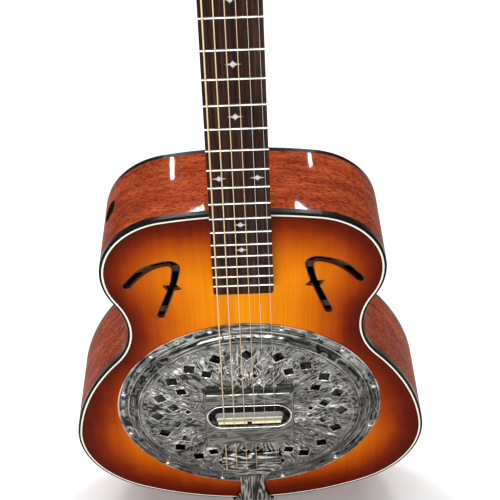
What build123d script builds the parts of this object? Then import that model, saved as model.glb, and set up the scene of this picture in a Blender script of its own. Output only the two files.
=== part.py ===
"""Six-string resonator guitar with a spider bridge, a round neck and a sunburst wooden body.

The origin is on the centre plane at the front edge of the nut, level with the soundboard's face.
+X is the treble side, +Y goes back into the body and +Z runs up the neck, all in millimetres.
"""
from build123d import *
from math import atan2, cos, hypot, radians, sin, sqrt
import os

# ---- strings and neck -------------------------------------------------------------------------
SCALE_LENGTH = 648.0
FRET_COUNT = 20
BODY_JOINT_FRET = 14
NUT_WIDTH = 43.0
WIDTH_AT_FRET_12 = 52.3
NUT_THICKNESS = 5.0
STRING_SPREAD_NUT = 36.0
STRING_SPREAD_SADDLE = 54.6
STRING_SPREAD_TAIL = 56.6
STRING_DIAMETERS = (1.35, 1.07, 0.81, 0.61, 0.41, 0.30)
NECK_FACE_HEIGHT = 3.5          # the fretboard's underside stands this far in front of the soundboard
NECK_DEPTH_NUT = 15.0
NECK_DEPTH_HEEL = 17.0
HEEL_DEPTH = 84.0
FRETBOARD_THICKNESS = 6.5
FRETBOARD_PAST_LAST_FRET = 12.0
FRET_CROWN = 1.1
FRET_CROWN_WIDTH = 2.4
FRET_SLOT = 0.6
FRET_TANG = 2.0

# ---- headstock and tuners ---------------------------------------------------------------------
HEADSTOCK_TILT = 14.0
HEADSTOCK_THICKNESS = 14.0
HEADSTOCK_LENGTH = 168.0
VENEER_THICKNESS = 1.5
POST_ROWS = (38.0, 80.0, 122.0)     # up the headstock, from the back of the nut
POST_OFFSETS = (22.0, 23.5, 25.0)   # from the centre line, row by row
POST_RADIUS = 3.0
POST_TOP = 12.0
RUNNING_GAP = 0.05
HOUSING_THICKNESS = 11.0
GEAR_RADIUS = 5.6
WORM_RADIUS = 2.6
KEY_SHAFT_RADIUS = 2.0
GEAR_TEETH = 14
HOUSING_SCREW_X = 5.5
HOUSING_SCREW_Y = 6.5
COVER_SCREWS = ((0.0, 31.5), (-9.0, 5.5), (9.0, 5.5))

# ---- body -------------------------------------------------------------------------------------
BODY_TOP = -362.7               # height of the body's upper edge on the centre line
BODY_ARCS = (                   # the outline's tangent arcs from the neck round to the tail
    (461.0, 8.9),               # beside the neck
    (74.0, 109.2),              # shoulder and upper bout
    (76.0, -68.9),              # waist, which curves inwards
    (241.0, 31.6),              # flank
    (113.0, 71.7),              # lower bout
)
BODY_DEPTH = 92.0
TOP_THICKNESS = 3.5
BACK_THICKNESS = 3.0
SIDE_THICKNESS = 2.5
BINDING_HEIGHT = 6.0
PURFLING_WIDTH = 1.7
PURFLING_DEPTH = 1.5
LINING_WIDTH = 6.5
LINING_HEIGHT = 12.5

# ---- resonator --------------------------------------------------------------------------------
CONE_CENTRE_Z = -650.5
CONE_RADIUS = 133.35
CONE_DEPTH = 7.0                # how far the cone's rim lies behind the soundboard's face
SHEET = 1.0
RECESS_RADIUS = 134.6
SOUNDWELL_RADIUS = 143.0
COVERPLATE_RADIUS = 141.5
SCREW_CIRCLE = 136.65
COVERPLATE_SCREWS = 12
FLANGE_INNER_RADIUS = 131.0
FIELD_RADIUS = 120.0
FIELD_EDGE_HEIGHT = 4.4
FIELD_CENTRE_HEIGHT = 6.6
SADDLE_Z = -652.0
SADDLE_THICKNESS = 4.5
SADDLE_GAP = 5.0
SADDLE_LENGTH = 67.0
STRING_HEIGHT_SADDLE = 17.0
STRING_HEIGHT_NUT = 12.2
TAIL_HOLE_Z = -747.0
STRING_HEIGHT_TAIL = 11.5
TAILPIECE_SHEET = 1.6

FRETBOARD_TOP = NECK_FACE_HEIGHT + FRETBOARD_THICKNESS
CONE_AXIS = Axis((0, 0, CONE_CENTRE_Z), (0, 1, 0))
RADIAL_PLANE = Plane.XY.offset(CONE_CENTRE_Z)

os.makedirs("parts", exist_ok=True)


# ---- helpers ----------------------------------------------------------------------------------
def face_plane(height):
    """A plane facing the player at this height before the soundboard: local x is X, y is Z."""
    return Plane.XZ.offset(height)


def fret_z(number):
    """Height of a fret below the nut, by the equal-tempered rule."""
    return -SCALE_LENGTH * (1 - 2 ** (-number / 12))


def neck_width(z):
    """Width of the fretboard at a height z below the nut."""
    return NUT_WIDTH + (WIDTH_AT_FRET_12 - NUT_WIDTH) * z / fret_z(12)


def spread(total, index):
    """Sideways place of one of the six strings, from bass to treble."""
    return total * (index / 5 - 0.5)


def save(piece, name):
    """Label a finished piece and write it to its own file."""
    piece.part.label = name
    export_step(piece.part, f"parts/{name}.step")


def body_face(height, inset=0.0):
    """The body's outline, moved inwards by inset, as a face at this height."""
    with BuildSketch(face_plane(height)) as outline:
        with BuildLine():
            point = Vector(0, BODY_TOP - inset)
            heading = Vector(1, 0)
            turned = 0.0
            for radius, turn in BODY_ARCS:
                own_radius = radius - inset if turn > 0 else radius + inset
                arc = JernArc(start=point, tangent=heading, radius=own_radius, arc_size=-turn)
                point = arc @ 1
                heading = arc % 1
                turned += turn
            rest = 180 - turned
            tail_radius = point.X / sin(radians(rest))
            JernArc(start=point, tangent=heading, radius=tail_radius, arc_size=-rest)
            mirror(about=Plane.YZ)
        make_face()
    return outline.sketch


def rim(front, back, outer_inset, inner_inset):
    """A closed strip that follows the body's outline between two heights."""
    with BuildPart() as strip:
        extrude(body_face(front, outer_inset), amount=back - front)
        extrude(body_face(front, inner_inset), amount=back - front, mode=Mode.SUBTRACT)
    return strip.part


def body_tail():
    """Height of the body's lowest point."""
    return body_face(0).bounding_box().min.Z


BODY_BOTTOM = body_tail()
BINDING_BOTTOM = -BINDING_HEIGHT
BACK_FACE = -BODY_DEPTH


# ---- the body's shell -------------------------------------------------------------------------
def sound_hole(side):
    """A hook-shaped sound hole with two nicks in its stem; side is -1 for bass, 1 for treble."""
    with BuildSketch() as hole:
        with BuildLine():
            outer = Spline((113, -449), (97, -430.5), (82, -422.3), (66, -419.4), (58.2, -426),
                           (59.4, -437), (64, -454), (78, -495))
            inner = Spline((85, -492.5), (70.5, -454.5), (66.2, -437), (65.6, -429), (69.5, -425.6),
                           (82.5, -429.5), (95, -439), (107.5, -453.5))
            ThreePointArc(outer @ 1, (82.6, -496), inner @ 0)
            ThreePointArc(inner @ 1, (112.7, -453.6), outer @ 0)
        make_face()
        with Locations(Location((67.2, -454.5), 17)):
            Polygon((-9, 0), (0, 2.6), (9, 0), (0, -2.6))
    return hole.sketch if side > 0 else hole.sketch.mirror(Plane.YZ)


with BuildPart() as soundboard:
    extrude(body_face(0, SIDE_THICKNESS), amount=-TOP_THICKNESS)
    extrude(body_face(0, SIDE_THICKNESS), amount=-PURFLING_DEPTH, mode=Mode.SUBTRACT)
    extrude(body_face(0, SIDE_THICKNESS + PURFLING_WIDTH), amount=-PURFLING_DEPTH)
    with BuildSketch(face_plane(0)):
        with Locations((0, CONE_CENTRE_Z)):
            Circle(RECESS_RADIUS)
        add(sound_hole(-1))
        add(sound_hole(1))
    extrude(amount=-TOP_THICKNESS, mode=Mode.SUBTRACT)
    with BuildSketch(face_plane(0)):
        with Locations((0, CONE_CENTRE_Z)):
            with PolarLocations(SCREW_CIRCLE, COVERPLATE_SCREWS, start_angle=15):
                Circle(1.35)
    extrude(amount=-TOP_THICKNESS, mode=Mode.SUBTRACT)
save(soundboard, "soundboard")

with BuildPart() as purfling_top:
    add(rim(0, -PURFLING_DEPTH, SIDE_THICKNESS, SIDE_THICKNESS + PURFLING_WIDTH))
save(purfling_top, "purfling_top")

with BuildPart() as binding_top:
    add(rim(0, BINDING_BOTTOM, 0, SIDE_THICKNESS))
    fillet(binding_top.faces().sort_by(Axis.Y)[0].outer_wire().edges(), radius=1.3)
save(binding_top, "binding_top")

with BuildPart() as binding_back:
    add(rim(BACK_FACE + BINDING_HEIGHT, BACK_FACE, 0, SIDE_THICKNESS))
    fillet(binding_back.faces().sort_by(Axis.Y)[-1].outer_wire().edges(), radius=1.3)
save(binding_back, "binding_back")

with BuildPart() as back:
    extrude(body_face(BACK_FACE + BACK_THICKNESS, SIDE_THICKNESS), amount=-BACK_THICKNESS)
save(back, "back")

SIDE_CAP_CENTRE = (-124.5, 54.0, -404.0)
SIDE_CAP_RADIUS = 11.0
SIDE_CAP_PLANE = Plane(origin=SIDE_CAP_CENTRE, x_dir=(0, 1, 0), z_dir=(-0.86, 0, 0.51))

NECK_BOLT_DEPTHS = (22.0, 58.0)
TAIL_SCREWS = ((-10.0, 26.0), (10.0, 26.0))
STRAP_BUTTON_DEPTH = 46.0


def neck_bolt_holes():
    """The holes the neck's bolts pass through, seen along the neck, just outside the body."""
    with BuildSketch(Plane.XY.offset(BODY_TOP + 2)) as holes:
        with Locations(*[(0, depth) for depth in NECK_BOLT_DEPTHS]):
            Circle(3.1)
    return holes.sketch


def tail_screw_holes():
    """The holes for the tailpiece's screws and the strap button, just below the body."""
    with BuildSketch(Plane.XY.offset(BODY_BOTTOM - 2)) as holes:
        with Locations((0, STRAP_BUTTON_DEPTH), *TAIL_SCREWS):
            Circle(1.8)
    return holes.sketch


with BuildPart() as side_bass:
    add(rim(BINDING_BOTTOM, BACK_FACE + BINDING_HEIGHT, 0, SIDE_THICKNESS))
    split(bisect_by=Plane.YZ, keep=Keep.BOTTOM)
    with BuildSketch(SIDE_CAP_PLANE.offset(8)):
        Circle(SIDE_CAP_RADIUS)
    extrude(amount=-20, mode=Mode.SUBTRACT)
    extrude(neck_bolt_holes(), amount=-8, mode=Mode.SUBTRACT)
    extrude(tail_screw_holes(), amount=8, mode=Mode.SUBTRACT)
save(side_bass, "side_bass")

with BuildPart() as side_treble:
    add(rim(BINDING_BOTTOM, BACK_FACE + BINDING_HEIGHT, 0, SIDE_THICKNESS))
    split(bisect_by=Plane.YZ, keep=Keep.TOP)
    extrude(neck_bolt_holes(), amount=-8, mode=Mode.SUBTRACT)
    extrude(tail_screw_holes(), amount=8, mode=Mode.SUBTRACT)
save(side_treble, "side_treble")


# ---- inside the body --------------------------------------------------------------------------
INNER_FRONT = -TOP_THICKNESS
INNER_BACK = BACK_FACE + BACK_THICKNESS
NECK_BLOCK_SIZE = (84.0, 62.0)
TAIL_BLOCK_SIZE = (80.0, 20.0)


def block_face(height, size, edge_z, toward):
    """A block's outline: a rectangle from the side's inner face at edge_z, cut to the body's curve."""
    with BuildSketch(face_plane(height)) as outline:
        add(body_face(height, SIDE_THICKNESS))
        with Locations((0, edge_z + toward * size[1] / 2)):
            Rectangle(size[0], size[1] + 2 * SIDE_THICKNESS, mode=Mode.INTERSECT)
    return outline.sketch


with BuildPart() as neck_block:
    extrude(block_face(INNER_FRONT, NECK_BLOCK_SIZE, BODY_TOP, -1), amount=INNER_BACK - INNER_FRONT)
    with BuildSketch(Plane.XY.offset(BODY_TOP)):
        with Locations(*[(0, depth) for depth in NECK_BOLT_DEPTHS]):
            Circle(3.1)
    extrude(amount=-80, mode=Mode.SUBTRACT)
save(neck_block, "neck_block")

with BuildPart() as tail_block:
    extrude(block_face(INNER_FRONT, TAIL_BLOCK_SIZE, BODY_BOTTOM, 1), amount=INNER_BACK - INNER_FRONT)
    with BuildSketch(Plane.XY.offset(BODY_BOTTOM)):
        with Locations((0, STRAP_BUTTON_DEPTH), *TAIL_SCREWS):
            Circle(1.8)
    extrude(amount=16, mode=Mode.SUBTRACT)
save(tail_block, "tail_block")


def lining(front, name):
    """The strip glued inside the sides along one edge, broken at the two end blocks."""
    back_end = front - LINING_HEIGHT
    with BuildPart() as strip:
        add(rim(front, back_end, SIDE_THICKNESS, SIDE_THICKNESS + LINING_WIDTH))
        with BuildSketch(face_plane(front)):
            with Locations((0, BODY_TOP)):
                Rectangle(NECK_BLOCK_SIZE[0] + 1, 80)
            with Locations((0, BODY_BOTTOM)):
                Rectangle(TAIL_BLOCK_SIZE[0] + 1, 60)
        extrude(amount=back_end - front, mode=Mode.SUBTRACT)
    save(strip, name)


lining(INNER_FRONT, "lining_top")
lining(INNER_BACK + LINING_HEIGHT, "lining_back")


def brace_bar(z, height, bar_width, bar_height, toward):
    """One straight brace across the body, with its free edge narrowed."""
    with BuildSketch(Plane.YZ) as section:
        with BuildLine():
            Polyline((-height, z - bar_width / 2), (-height, z + bar_width / 2),
                     (-height + toward * bar_height, z + bar_width / 4),
                     (-height + toward * bar_height, z - bar_width / 4), close=True)
        make_face()
    with BuildPart() as bar:
        extrude(section.sketch, amount=200, both=True)
        extrude(body_face(10, SIDE_THICKNESS + LINING_WIDTH + 1), amount=-120, mode=Mode.INTERSECT)
    return bar.part


with BuildPart() as braces_top:
    add(brace_bar(-487, INNER_FRONT, 8, 14, 1))
    add(brace_bar(-432, INNER_FRONT, 8, 12, 1))
save(braces_top, "braces_top")

with BuildPart() as braces_back:
    for brace_z in (-455, -560, -690, -775):
        add(brace_bar(brace_z, INNER_BACK, 12, 14, -1))
save(braces_back, "braces_back")

with BuildPart() as soundwell:
    with BuildSketch(RADIAL_PLANE):
        with BuildLine():
            Polyline((RECESS_RADIUS + 0.4, TOP_THICKNESS), (SOUNDWELL_RADIUS, TOP_THICKNESS),
                     (SOUNDWELL_RADIUS, 62), (RECESS_RADIUS + 0.4, 62), (RECESS_RADIUS + 0.4, 15),
                     (127.5, 15), (127.5, CONE_DEPTH + SHEET), (RECESS_RADIUS + 0.4, CONE_DEPTH + SHEET),
                     close=True)
        make_face()
    revolve(axis=CONE_AXIS)
    with BuildSketch(face_plane(INNER_FRONT)):
        with Locations((0, CONE_CENTRE_Z)):
            with PolarLocations(SCREW_CIRCLE, COVERPLATE_SCREWS, start_angle=15):
                Circle(1.35)
    extrude(amount=-9, mode=Mode.SUBTRACT)
    for port in range(10):
        port_plane = Plane(origin=(0, 38, CONE_CENTRE_Z), x_dir=(0, 1, 0),
                           z_dir=(sin(radians(36 * port)), 0, cos(radians(36 * port))))
        with BuildSketch(port_plane.offset(120)):
            Circle(17)
        extrude(amount=40, mode=Mode.SUBTRACT)
save(soundwell, "soundwell")


# ---- cone, spider and saddles -----------------------------------------------------------------
def sheet_profile(points, thickness):
    """A thin sheet's half section: a spline through points and the same spline moved by thickness."""
    lower_points = [(radius, depth + thickness) for radius, depth in points]
    with BuildSketch(RADIAL_PLANE) as section:
        with BuildLine():
            upper = Spline(*points)
            lower = Spline(*lower_points)
            Line(upper @ 0, lower @ 0)
            Line(upper @ 1, lower @ 1)
        make_face()
    return section.sketch


with BuildPart() as cone:
    bowl = [(126.5, CONE_DEPTH), (112, 13), (84, 24), (58, 33), (42, 34.5), (28, 29), (14, 19.5), (6, 17)]
    revolve(sheet_profile(bowl, SHEET), axis=CONE_AXIS)
    with BuildSketch(Plane.XZ.offset(-CONE_DEPTH)):
        with Locations((0, CONE_CENTRE_Z)):
            Circle(CONE_RADIUS)
            Circle(126.4, mode=Mode.SUBTRACT)
    extrude(amount=-SHEET)
    with BuildSketch(Plane.XZ.offset(-17)):
        with Locations((0, CONE_CENTRE_Z)):
            Circle(6.2)
        with Locations((0, SADDLE_Z)):
            Circle(1.9, mode=Mode.SUBTRACT)
    extrude(amount=-SHEET)
save(cone, "cone")

HUB_TOP = 7.0
HUB_BOTTOM = -4.0
HUB_LENGTH = 74.0
HUB_WIDTH = 11.0
SEAT_TOP = 12.3
SEAT_WALL = 1.6
SADDLE_FOOT = 2.5
LEG_COUNT = 8
SCREW_SHAFT_RADIUS = 1.75

with BuildPart() as spider:
    with BuildSketch(face_plane(HUB_TOP)):
        with Locations((0, SADDLE_Z)):
            SlotOverall(HUB_LENGTH, HUB_WIDTH)
    extrude(amount=HUB_BOTTOM - HUB_TOP)
    with BuildSketch(face_plane(SEAT_TOP)):
        with Locations((0, SADDLE_Z)):
            Rectangle(SADDLE_LENGTH + 2 * SEAT_WALL, SADDLE_THICKNESS + 2 * SEAT_WALL)
    extrude(amount=HUB_TOP - SEAT_TOP)
    with BuildSketch(face_plane(0)):
        with Locations((0, CONE_CENTRE_Z)):
            Circle(20)
            for leg in range(LEG_COUNT):
                with Locations(Rotation(0, 0, 22.5 + 45 * leg)):
                    with Locations((66, 0)):
                        Rectangle(130, 5.5)
    extrude(amount=HUB_BOTTOM)
    with BuildSketch(face_plane(HUB_BOTTOM)):
        with Locations((0, CONE_CENTRE_Z)):
            with PolarLocations(129.2, LEG_COUNT, start_angle=22.5):
                Circle(2.4)
    extrude(amount=-(CONE_DEPTH + HUB_BOTTOM))
    with BuildSketch(face_plane(SEAT_TOP)):
        with Locations((0, SADDLE_Z)):
            Rectangle(SADDLE_LENGTH + 0.4, SADDLE_THICKNESS)
    extrude(amount=SADDLE_FOOT - SEAT_TOP, mode=Mode.SUBTRACT)
    with BuildSketch(face_plane(SADDLE_FOOT)):
        with Locations((0, SADDLE_Z)):
            Circle(SCREW_SHAFT_RADIUS + RUNNING_GAP)
    extrude(amount=-30, mode=Mode.SUBTRACT)
save(spider, "spider")


def string_point(index, z):
    """Centre of a string between the nut and the saddle at height z."""
    share = z / SADDLE_Z
    across = spread(STRING_SPREAD_NUT, index) * (1 - share) + spread(STRING_SPREAD_SADDLE, index) * share
    height = STRING_HEIGHT_NUT * (1 - share) + STRING_HEIGHT_SADDLE * share
    return Vector(across, -height, z)


def saddle(name, first_string):
    """One half of the saddle, which carries three strings."""
    length = (SADDLE_LENGTH - SADDLE_GAP) / 2
    side = -1 if first_string == 0 else 1
    centre = side * (SADDLE_GAP + length) / 2
    with BuildPart() as half:
        with BuildSketch(Plane.YZ.offset(centre - length / 2)):
            with BuildLine():
                front = -STRING_HEIGHT_SADDLE
                foot = -SADDLE_FOOT
                half_width = SADDLE_THICKNESS / 2
                Polyline((front + 1.2, SADDLE_Z - half_width), (foot, SADDLE_Z - half_width),
                         (foot, SADDLE_Z + half_width), (front + 1.2, SADDLE_Z + half_width))
                ThreePointArc((front + 1.2, SADDLE_Z + half_width), (front - 0.2, SADDLE_Z),
                              (front + 1.2, SADDLE_Z - half_width))
            make_face()
        extrude(amount=length)
        for index in range(first_string, first_string + 3):
            slot = STRING_DIAMETERS[index] + 0.2
            at = string_point(index, SADDLE_Z)
            with BuildSketch(Plane(origin=(at.X, 0, SADDLE_Z), x_dir=(1, 0, 0), z_dir=(0, 0, 1))):
                with Locations((0, at.Y)):
                    Circle(slot / 2)
                with Locations((0, at.Y - 2)):
                    Rectangle(slot, 4)
            extrude(amount=6, both=True, mode=Mode.SUBTRACT)
    save(half, name)


saddle("saddle_bass", 0)
saddle("saddle_treble", 3)

with BuildPart() as tension_screw:
    with BuildSketch(face_plane(5.4)):
        with Locations((0, SADDLE_Z)):
            Circle(2.1)
            Rectangle(3.4, 0.7, mode=Mode.SUBTRACT)
    extrude(amount=-1.0)
    with BuildSketch(face_plane(4.4)):
        with Locations((0, SADDLE_Z)):
            Circle(2.1)
    extrude(amount=SADDLE_FOOT + 0.1 - 4.4)
    with BuildSketch(face_plane(SADDLE_FOOT + 0.1)):
        with Locations((0, SADDLE_Z)):
            Circle(SCREW_SHAFT_RADIUS)
    extrude(amount=-28)
save(tension_screw, "tension_screw")

with BuildPart() as cone_nut:
    with BuildSketch(face_plane(-17 - SHEET - 0.05)):
        with Locations((0, SADDLE_Z)):
            RegularPolygon(4.2, 6)
            Circle(SCREW_SHAFT_RADIUS + RUNNING_GAP, mode=Mode.SUBTRACT)
    extrude(amount=-3.5)
save(cone_nut, "cone_nut")


# ---- coverplate and hand rest -----------------------------------------------------------------
def field_height(radius):
    """Height of the coverplate's domed field at a radius from its centre."""
    return FIELD_CENTRE_HEIGHT - (FIELD_CENTRE_HEIGHT - FIELD_EDGE_HEIGHT) * (radius / FIELD_RADIUS) ** 2


DIAMOND_ROWS = (        # radius, size and the angles from the middle of each of the four fans
    (48.0, 9.0, (-32, -12, 12, 32)),
    (66.0, 6.0, (-6, 6)),
    (82.0, 11.0, (-31, -10.5, 10.5, 31)),
    (99.0, 12.5, (-37, -18.5, 0, 18.5, 37)),
)
DIAMOND_FILL = 0.9
REST_HALF_WIDTH = 48.0
REST_FRONT_Z = -604.0
REST_REAR_Z = -682.0
REST_SLOPE = 0.12
REST_HEIGHT_AT_SLOT = 15.2
SLOT_FRONT_Z = -623.3
SLOT_LENGTH = 86.5
SLOT_WIDTH = 31.7
OPENING_SIZE = (84.0, 52.0)

with BuildPart() as coverplate:
    with BuildSketch(RADIAL_PLANE):
        with BuildLine():
            field = ThreePointArc((0, -FIELD_CENTRE_HEIGHT),
                                  (FIELD_RADIUS / 2, -field_height(FIELD_RADIUS / 2)),
                                  (FIELD_RADIUS, -FIELD_EDGE_HEIGHT))
            step = Spline(field @ 1, (FLANGE_INNER_RADIUS - 4, -2.6), (FLANGE_INNER_RADIUS, -SHEET),
                          tangents=(Vector(1, 0.35), Vector(1, 0)))
            Polyline((FLANGE_INNER_RADIUS, -SHEET), (COVERPLATE_RADIUS - 0.5, -SHEET),
                     (COVERPLATE_RADIUS, -SHEET / 2), (COVERPLATE_RADIUS, 0), (FLANGE_INNER_RADIUS, 0))
            Spline((FLANGE_INNER_RADIUS, 0), (FLANGE_INNER_RADIUS - 4, -2.6 + SHEET),
                   (FIELD_RADIUS, -FIELD_EDGE_HEIGHT + SHEET), tangents=(Vector(-1, 0), Vector(-1, -0.35)))
            ThreePointArc((FIELD_RADIUS, -FIELD_EDGE_HEIGHT + SHEET),
                          (FIELD_RADIUS / 2, -field_height(FIELD_RADIUS / 2) + SHEET),
                          (0, -FIELD_CENTRE_HEIGHT + SHEET))
            Line((0, -FIELD_CENTRE_HEIGHT + SHEET), (0, -FIELD_CENTRE_HEIGHT))
        make_face()
    revolve(axis=CONE_AXIS)
    with BuildSketch(face_plane(20)):
        for fan in range(4):
            for radius, size, angles in DIAMOND_ROWS:
                for angle in angles:
                    turn = radians(90 * fan + angle)
                    across = radius * sin(turn)
                    up = CONE_CENTRE_Z + radius * cos(turn)
                    beside_rest = abs(across) > REST_HALF_WIDTH + 9
                    if beside_rest or up > REST_FRONT_Z - 6 or up < REST_REAR_Z - 14:
                        with Locations(Location((across, up), 45 - 90 * fan - angle)):
                            Rectangle(size * DIAMOND_FILL, size * DIAMOND_FILL)
        with Locations((0, SADDLE_Z - 2)):
            RectangleRounded(OPENING_SIZE[0], OPENING_SIZE[1], 8)
        with Locations((0, CONE_CENTRE_Z)):
            with PolarLocations(SCREW_CIRCLE, COVERPLATE_SCREWS, start_angle=15):
                Circle(1.5)
    extrude(amount=-24, mode=Mode.SUBTRACT)
save(coverplate, "coverplate")

with BuildPart() as coverplate_screws:
    with BuildSketch(Plane.XY.offset(CONE_CENTRE_Z)):
        with BuildLine():
            ThreePointArc((SCREW_CIRCLE, -SHEET - 2.0), (SCREW_CIRCLE + 2.1, -SHEET - 1.4),
                          (SCREW_CIRCLE + 2.8, -SHEET))
            Polyline((SCREW_CIRCLE + 2.8, -SHEET), (SCREW_CIRCLE + 1.3, -SHEET), (SCREW_CIRCLE + 1.3, 9),
                     (SCREW_CIRCLE, 11), (SCREW_CIRCLE, -SHEET - 2.0))
        make_face()
    revolve(axis=Axis((SCREW_CIRCLE, 0, CONE_CENTRE_Z), (0, 1, 0)))
    with BuildSketch(face_plane(SHEET + 3)):
        with Locations((SCREW_CIRCLE, CONE_CENTRE_Z)):
            Rectangle(3.4, 0.7)
            Rectangle(0.7, 3.4)
    extrude(amount=-1.7, mode=Mode.SUBTRACT)
one_screw = coverplate_screws.part
with BuildPart() as coverplate_screws:
    for number in range(COVERPLATE_SCREWS):
        add(one_screw.rotate(CONE_AXIS, 15 + 30 * number))
save(coverplate_screws, "coverplate_screws")

rest_slope_plane = Plane(origin=(0, -REST_HEIGHT_AT_SLOT, SLOT_FRONT_Z), x_dir=(1, 0, 0),
                         z_dir=(0, -1, REST_SLOPE))


def rest_height(z):
    """Height of the hand rest's upper face at height z along the body."""
    return REST_HEIGHT_AT_SLOT + REST_SLOPE * (SLOT_FRONT_Z - z)


with BuildPart() as hand_rest:
    with BuildSketch(Plane.YZ):
        with BuildLine():
            Polyline((4, REST_FRONT_Z + 6), (-rest_height(REST_FRONT_Z), REST_FRONT_Z - 3),
                     (-rest_height(REST_REAR_Z), REST_REAR_Z), (4, REST_REAR_Z), close=True)
        make_face()
    extrude(amount=REST_HALF_WIDTH, both=True)
    top_edges = hand_rest.faces().sort_by(Axis.Y)[0].edges()
    fillet(top_edges.filter_by(Axis.X, reverse=True), radius=6)
    fillet(hand_rest.edges().filter_by(Axis.X).group_by(Axis.Z)[-2:][0], radius=5)
    offset(amount=-SHEET, openings=[hand_rest.faces().sort_by(Axis.Y)[-1],
                                    hand_rest.faces().sort_by(Axis.Z)[0]])
    with BuildSketch(rest_slope_plane.offset(-4)):
        with Locations((0, -SLOT_WIDTH / 2)):
            SlotOverall(SLOT_LENGTH, SLOT_WIDTH)
    extrude(amount=8, mode=Mode.SUBTRACT)
    with BuildSketch(rest_slope_plane.offset(-SHEET)):
        with Locations((0, -SLOT_WIDTH / 2)):
            SlotOverall(SLOT_LENGTH + 2.4, SLOT_WIDTH + 2.4)
            SlotOverall(SLOT_LENGTH, SLOT_WIDTH, mode=Mode.SUBTRACT)
    extrude(amount=SHEET + 0.6)
    with BuildSketch(RADIAL_PLANE):
        with BuildLine():
            ThreePointArc((0, -FIELD_CENTRE_HEIGHT - 0.02),
                          (FIELD_RADIUS / 2, -field_height(FIELD_RADIUS / 2) - 0.02),
                          (FIELD_RADIUS, -FIELD_EDGE_HEIGHT - 0.02))
            Polyline((FIELD_RADIUS, -FIELD_EDGE_HEIGHT - 0.02), (FIELD_RADIUS, 10), (0, 10),
                     (0, -FIELD_CENTRE_HEIGHT - 0.02))
        make_face()
    revolve(axis=CONE_AXIS, mode=Mode.SUBTRACT)
save(hand_rest, "hand_rest")


# ---- tailpiece --------------------------------------------------------------------------------
TAIL_TONGUE_END = 62.0
TONGUE_HALF_WIDTH = 24.5
TONGUE_WAIST = 14.2
TAIL_EDGE = BODY_BOTTOM - 0.2
HEAD_HEIGHT = 9.0

with BuildPart() as tailpiece:
    with BuildSketch(Plane.YZ):
        with BuildLine():
            path = FilletPolyline((-HEAD_HEIGHT + 1.6, -724), (-HEAD_HEIGHT - 0.8, -732),
                                  (-HEAD_HEIGHT - 0.8, -756), (-5.0, -786), (-3.2, TAIL_EDGE - 0.8),
                                  (TAIL_TONGUE_END, TAIL_EDGE - 0.8), radius=2.6)
            offset(amount=TAILPIECE_SHEET / 2)
        make_face()
    extrude(amount=40, both=True)
    with BuildSketch(face_plane(30)):
        with BuildLine():
            Polyline((0, -720), (31, -720), (31, -727))
            ThreePointArc((31, -727), (34, -738), (31.5, -750))
            ThreePointArc((31.5, -750), (29, -755), (24, -757))
            ThreePointArc((24, -757), (16.5, -771), (TONGUE_WAIST, -797))
            ThreePointArc((TONGUE_WAIST, -797), (17.5, -816), (TONGUE_HALF_WIDTH, -831))
            Polyline((TONGUE_HALF_WIDTH, -831), (TONGUE_HALF_WIDTH, -845), (0, -845))
            mirror(about=Plane.YZ)
        make_face()
    extrude(amount=-100, mode=Mode.INTERSECT)
    with BuildSketch(face_plane(30)):
        for number in range(6):
            with Locations((spread(STRING_SPREAD_TAIL, number), TAIL_HOLE_Z - 0.6)):
                Polygon((-2.6, -2.6), (2.6, -2.6), (0, 2.8), align=None)
    extrude(amount=-26, mode=Mode.SUBTRACT)
    with BuildSketch(Plane.XY.offset(BODY_BOTTOM + 5)):
        with Locations((0, STRAP_BUTTON_DEPTH), *TAIL_SCREWS):
            Circle(1.9)
    extrude(amount=-12, mode=Mode.SUBTRACT)
    with BuildSketch(Plane.XY.offset(BODY_BOTTOM)):
        with Locations((0, TAIL_TONGUE_END - 10)):
            Rectangle(60, 25)
        with Locations((0, TAIL_TONGUE_END - TONGUE_HALF_WIDTH)):
            Circle(TONGUE_HALF_WIDTH, mode=Mode.SUBTRACT)
    extrude(amount=-12, mode=Mode.SUBTRACT)
save(tailpiece, "tailpiece")

TONGUE_FACE = TAIL_EDGE - 0.8 - TAILPIECE_SHEET / 2


def dome_screw(x, y):
    """A round-head screw driven upwards into the tail, with a slot."""
    with BuildPart() as screw:
        with BuildSketch(Plane(origin=(x, y, TONGUE_FACE), x_dir=(1, 0, 0), z_dir=(0, -1, 0))):
            with BuildLine():
                ThreePointArc((0, -2.0), (2.2, -1.4), (3.1, 0))
                Polyline((3.1, 0), (1.6, 0), (1.6, 14), (0, 16), (0, -2.0))
            make_face()
        revolve(axis=Axis((x, y, TONGUE_FACE), (0, 0, 1)))
        with BuildSketch(Plane.XY.offset(TONGUE_FACE - 3)):
            with Locations((x, y)):
                Rectangle(7, 0.8)
        extrude(amount=1.7, mode=Mode.SUBTRACT)
    return screw.part


with BuildPart() as tailpiece_screws:
    for x, y in TAIL_SCREWS:
        add(dome_screw(x, y))
save(tailpiece_screws, "tailpiece_screws")

with BuildPart() as strap_button:
    with BuildSketch(Plane(origin=(0, STRAP_BUTTON_DEPTH, TONGUE_FACE), x_dir=(1, 0, 0), z_dir=(0, -1, 0))):
        with BuildLine():
            Polyline((0, -12), (5.4, -12))
            ThreePointArc((5.4, -12), (7.0, -10.9), (6.4, -9.2))
            ThreePointArc((6.4, -9.2), (3.9, -5.4), (6.0, 0))
            Polyline((6.0, 0), (1.7, 0), (1.7, 15), (0, 17), (0, -12))
        make_face()
    revolve(axis=Axis((0, STRAP_BUTTON_DEPTH, TONGUE_FACE), (0, 0, 1)))
    with BuildSketch(Plane.XY.offset(TONGUE_FACE - 13)):
        with Locations((0, STRAP_BUTTON_DEPTH)):
            Rectangle(5.4, 1.0)
            Rectangle(1.0, 5.4)
    extrude(amount=2.4, mode=Mode.SUBTRACT)
save(strap_button, "strap_button")

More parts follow.
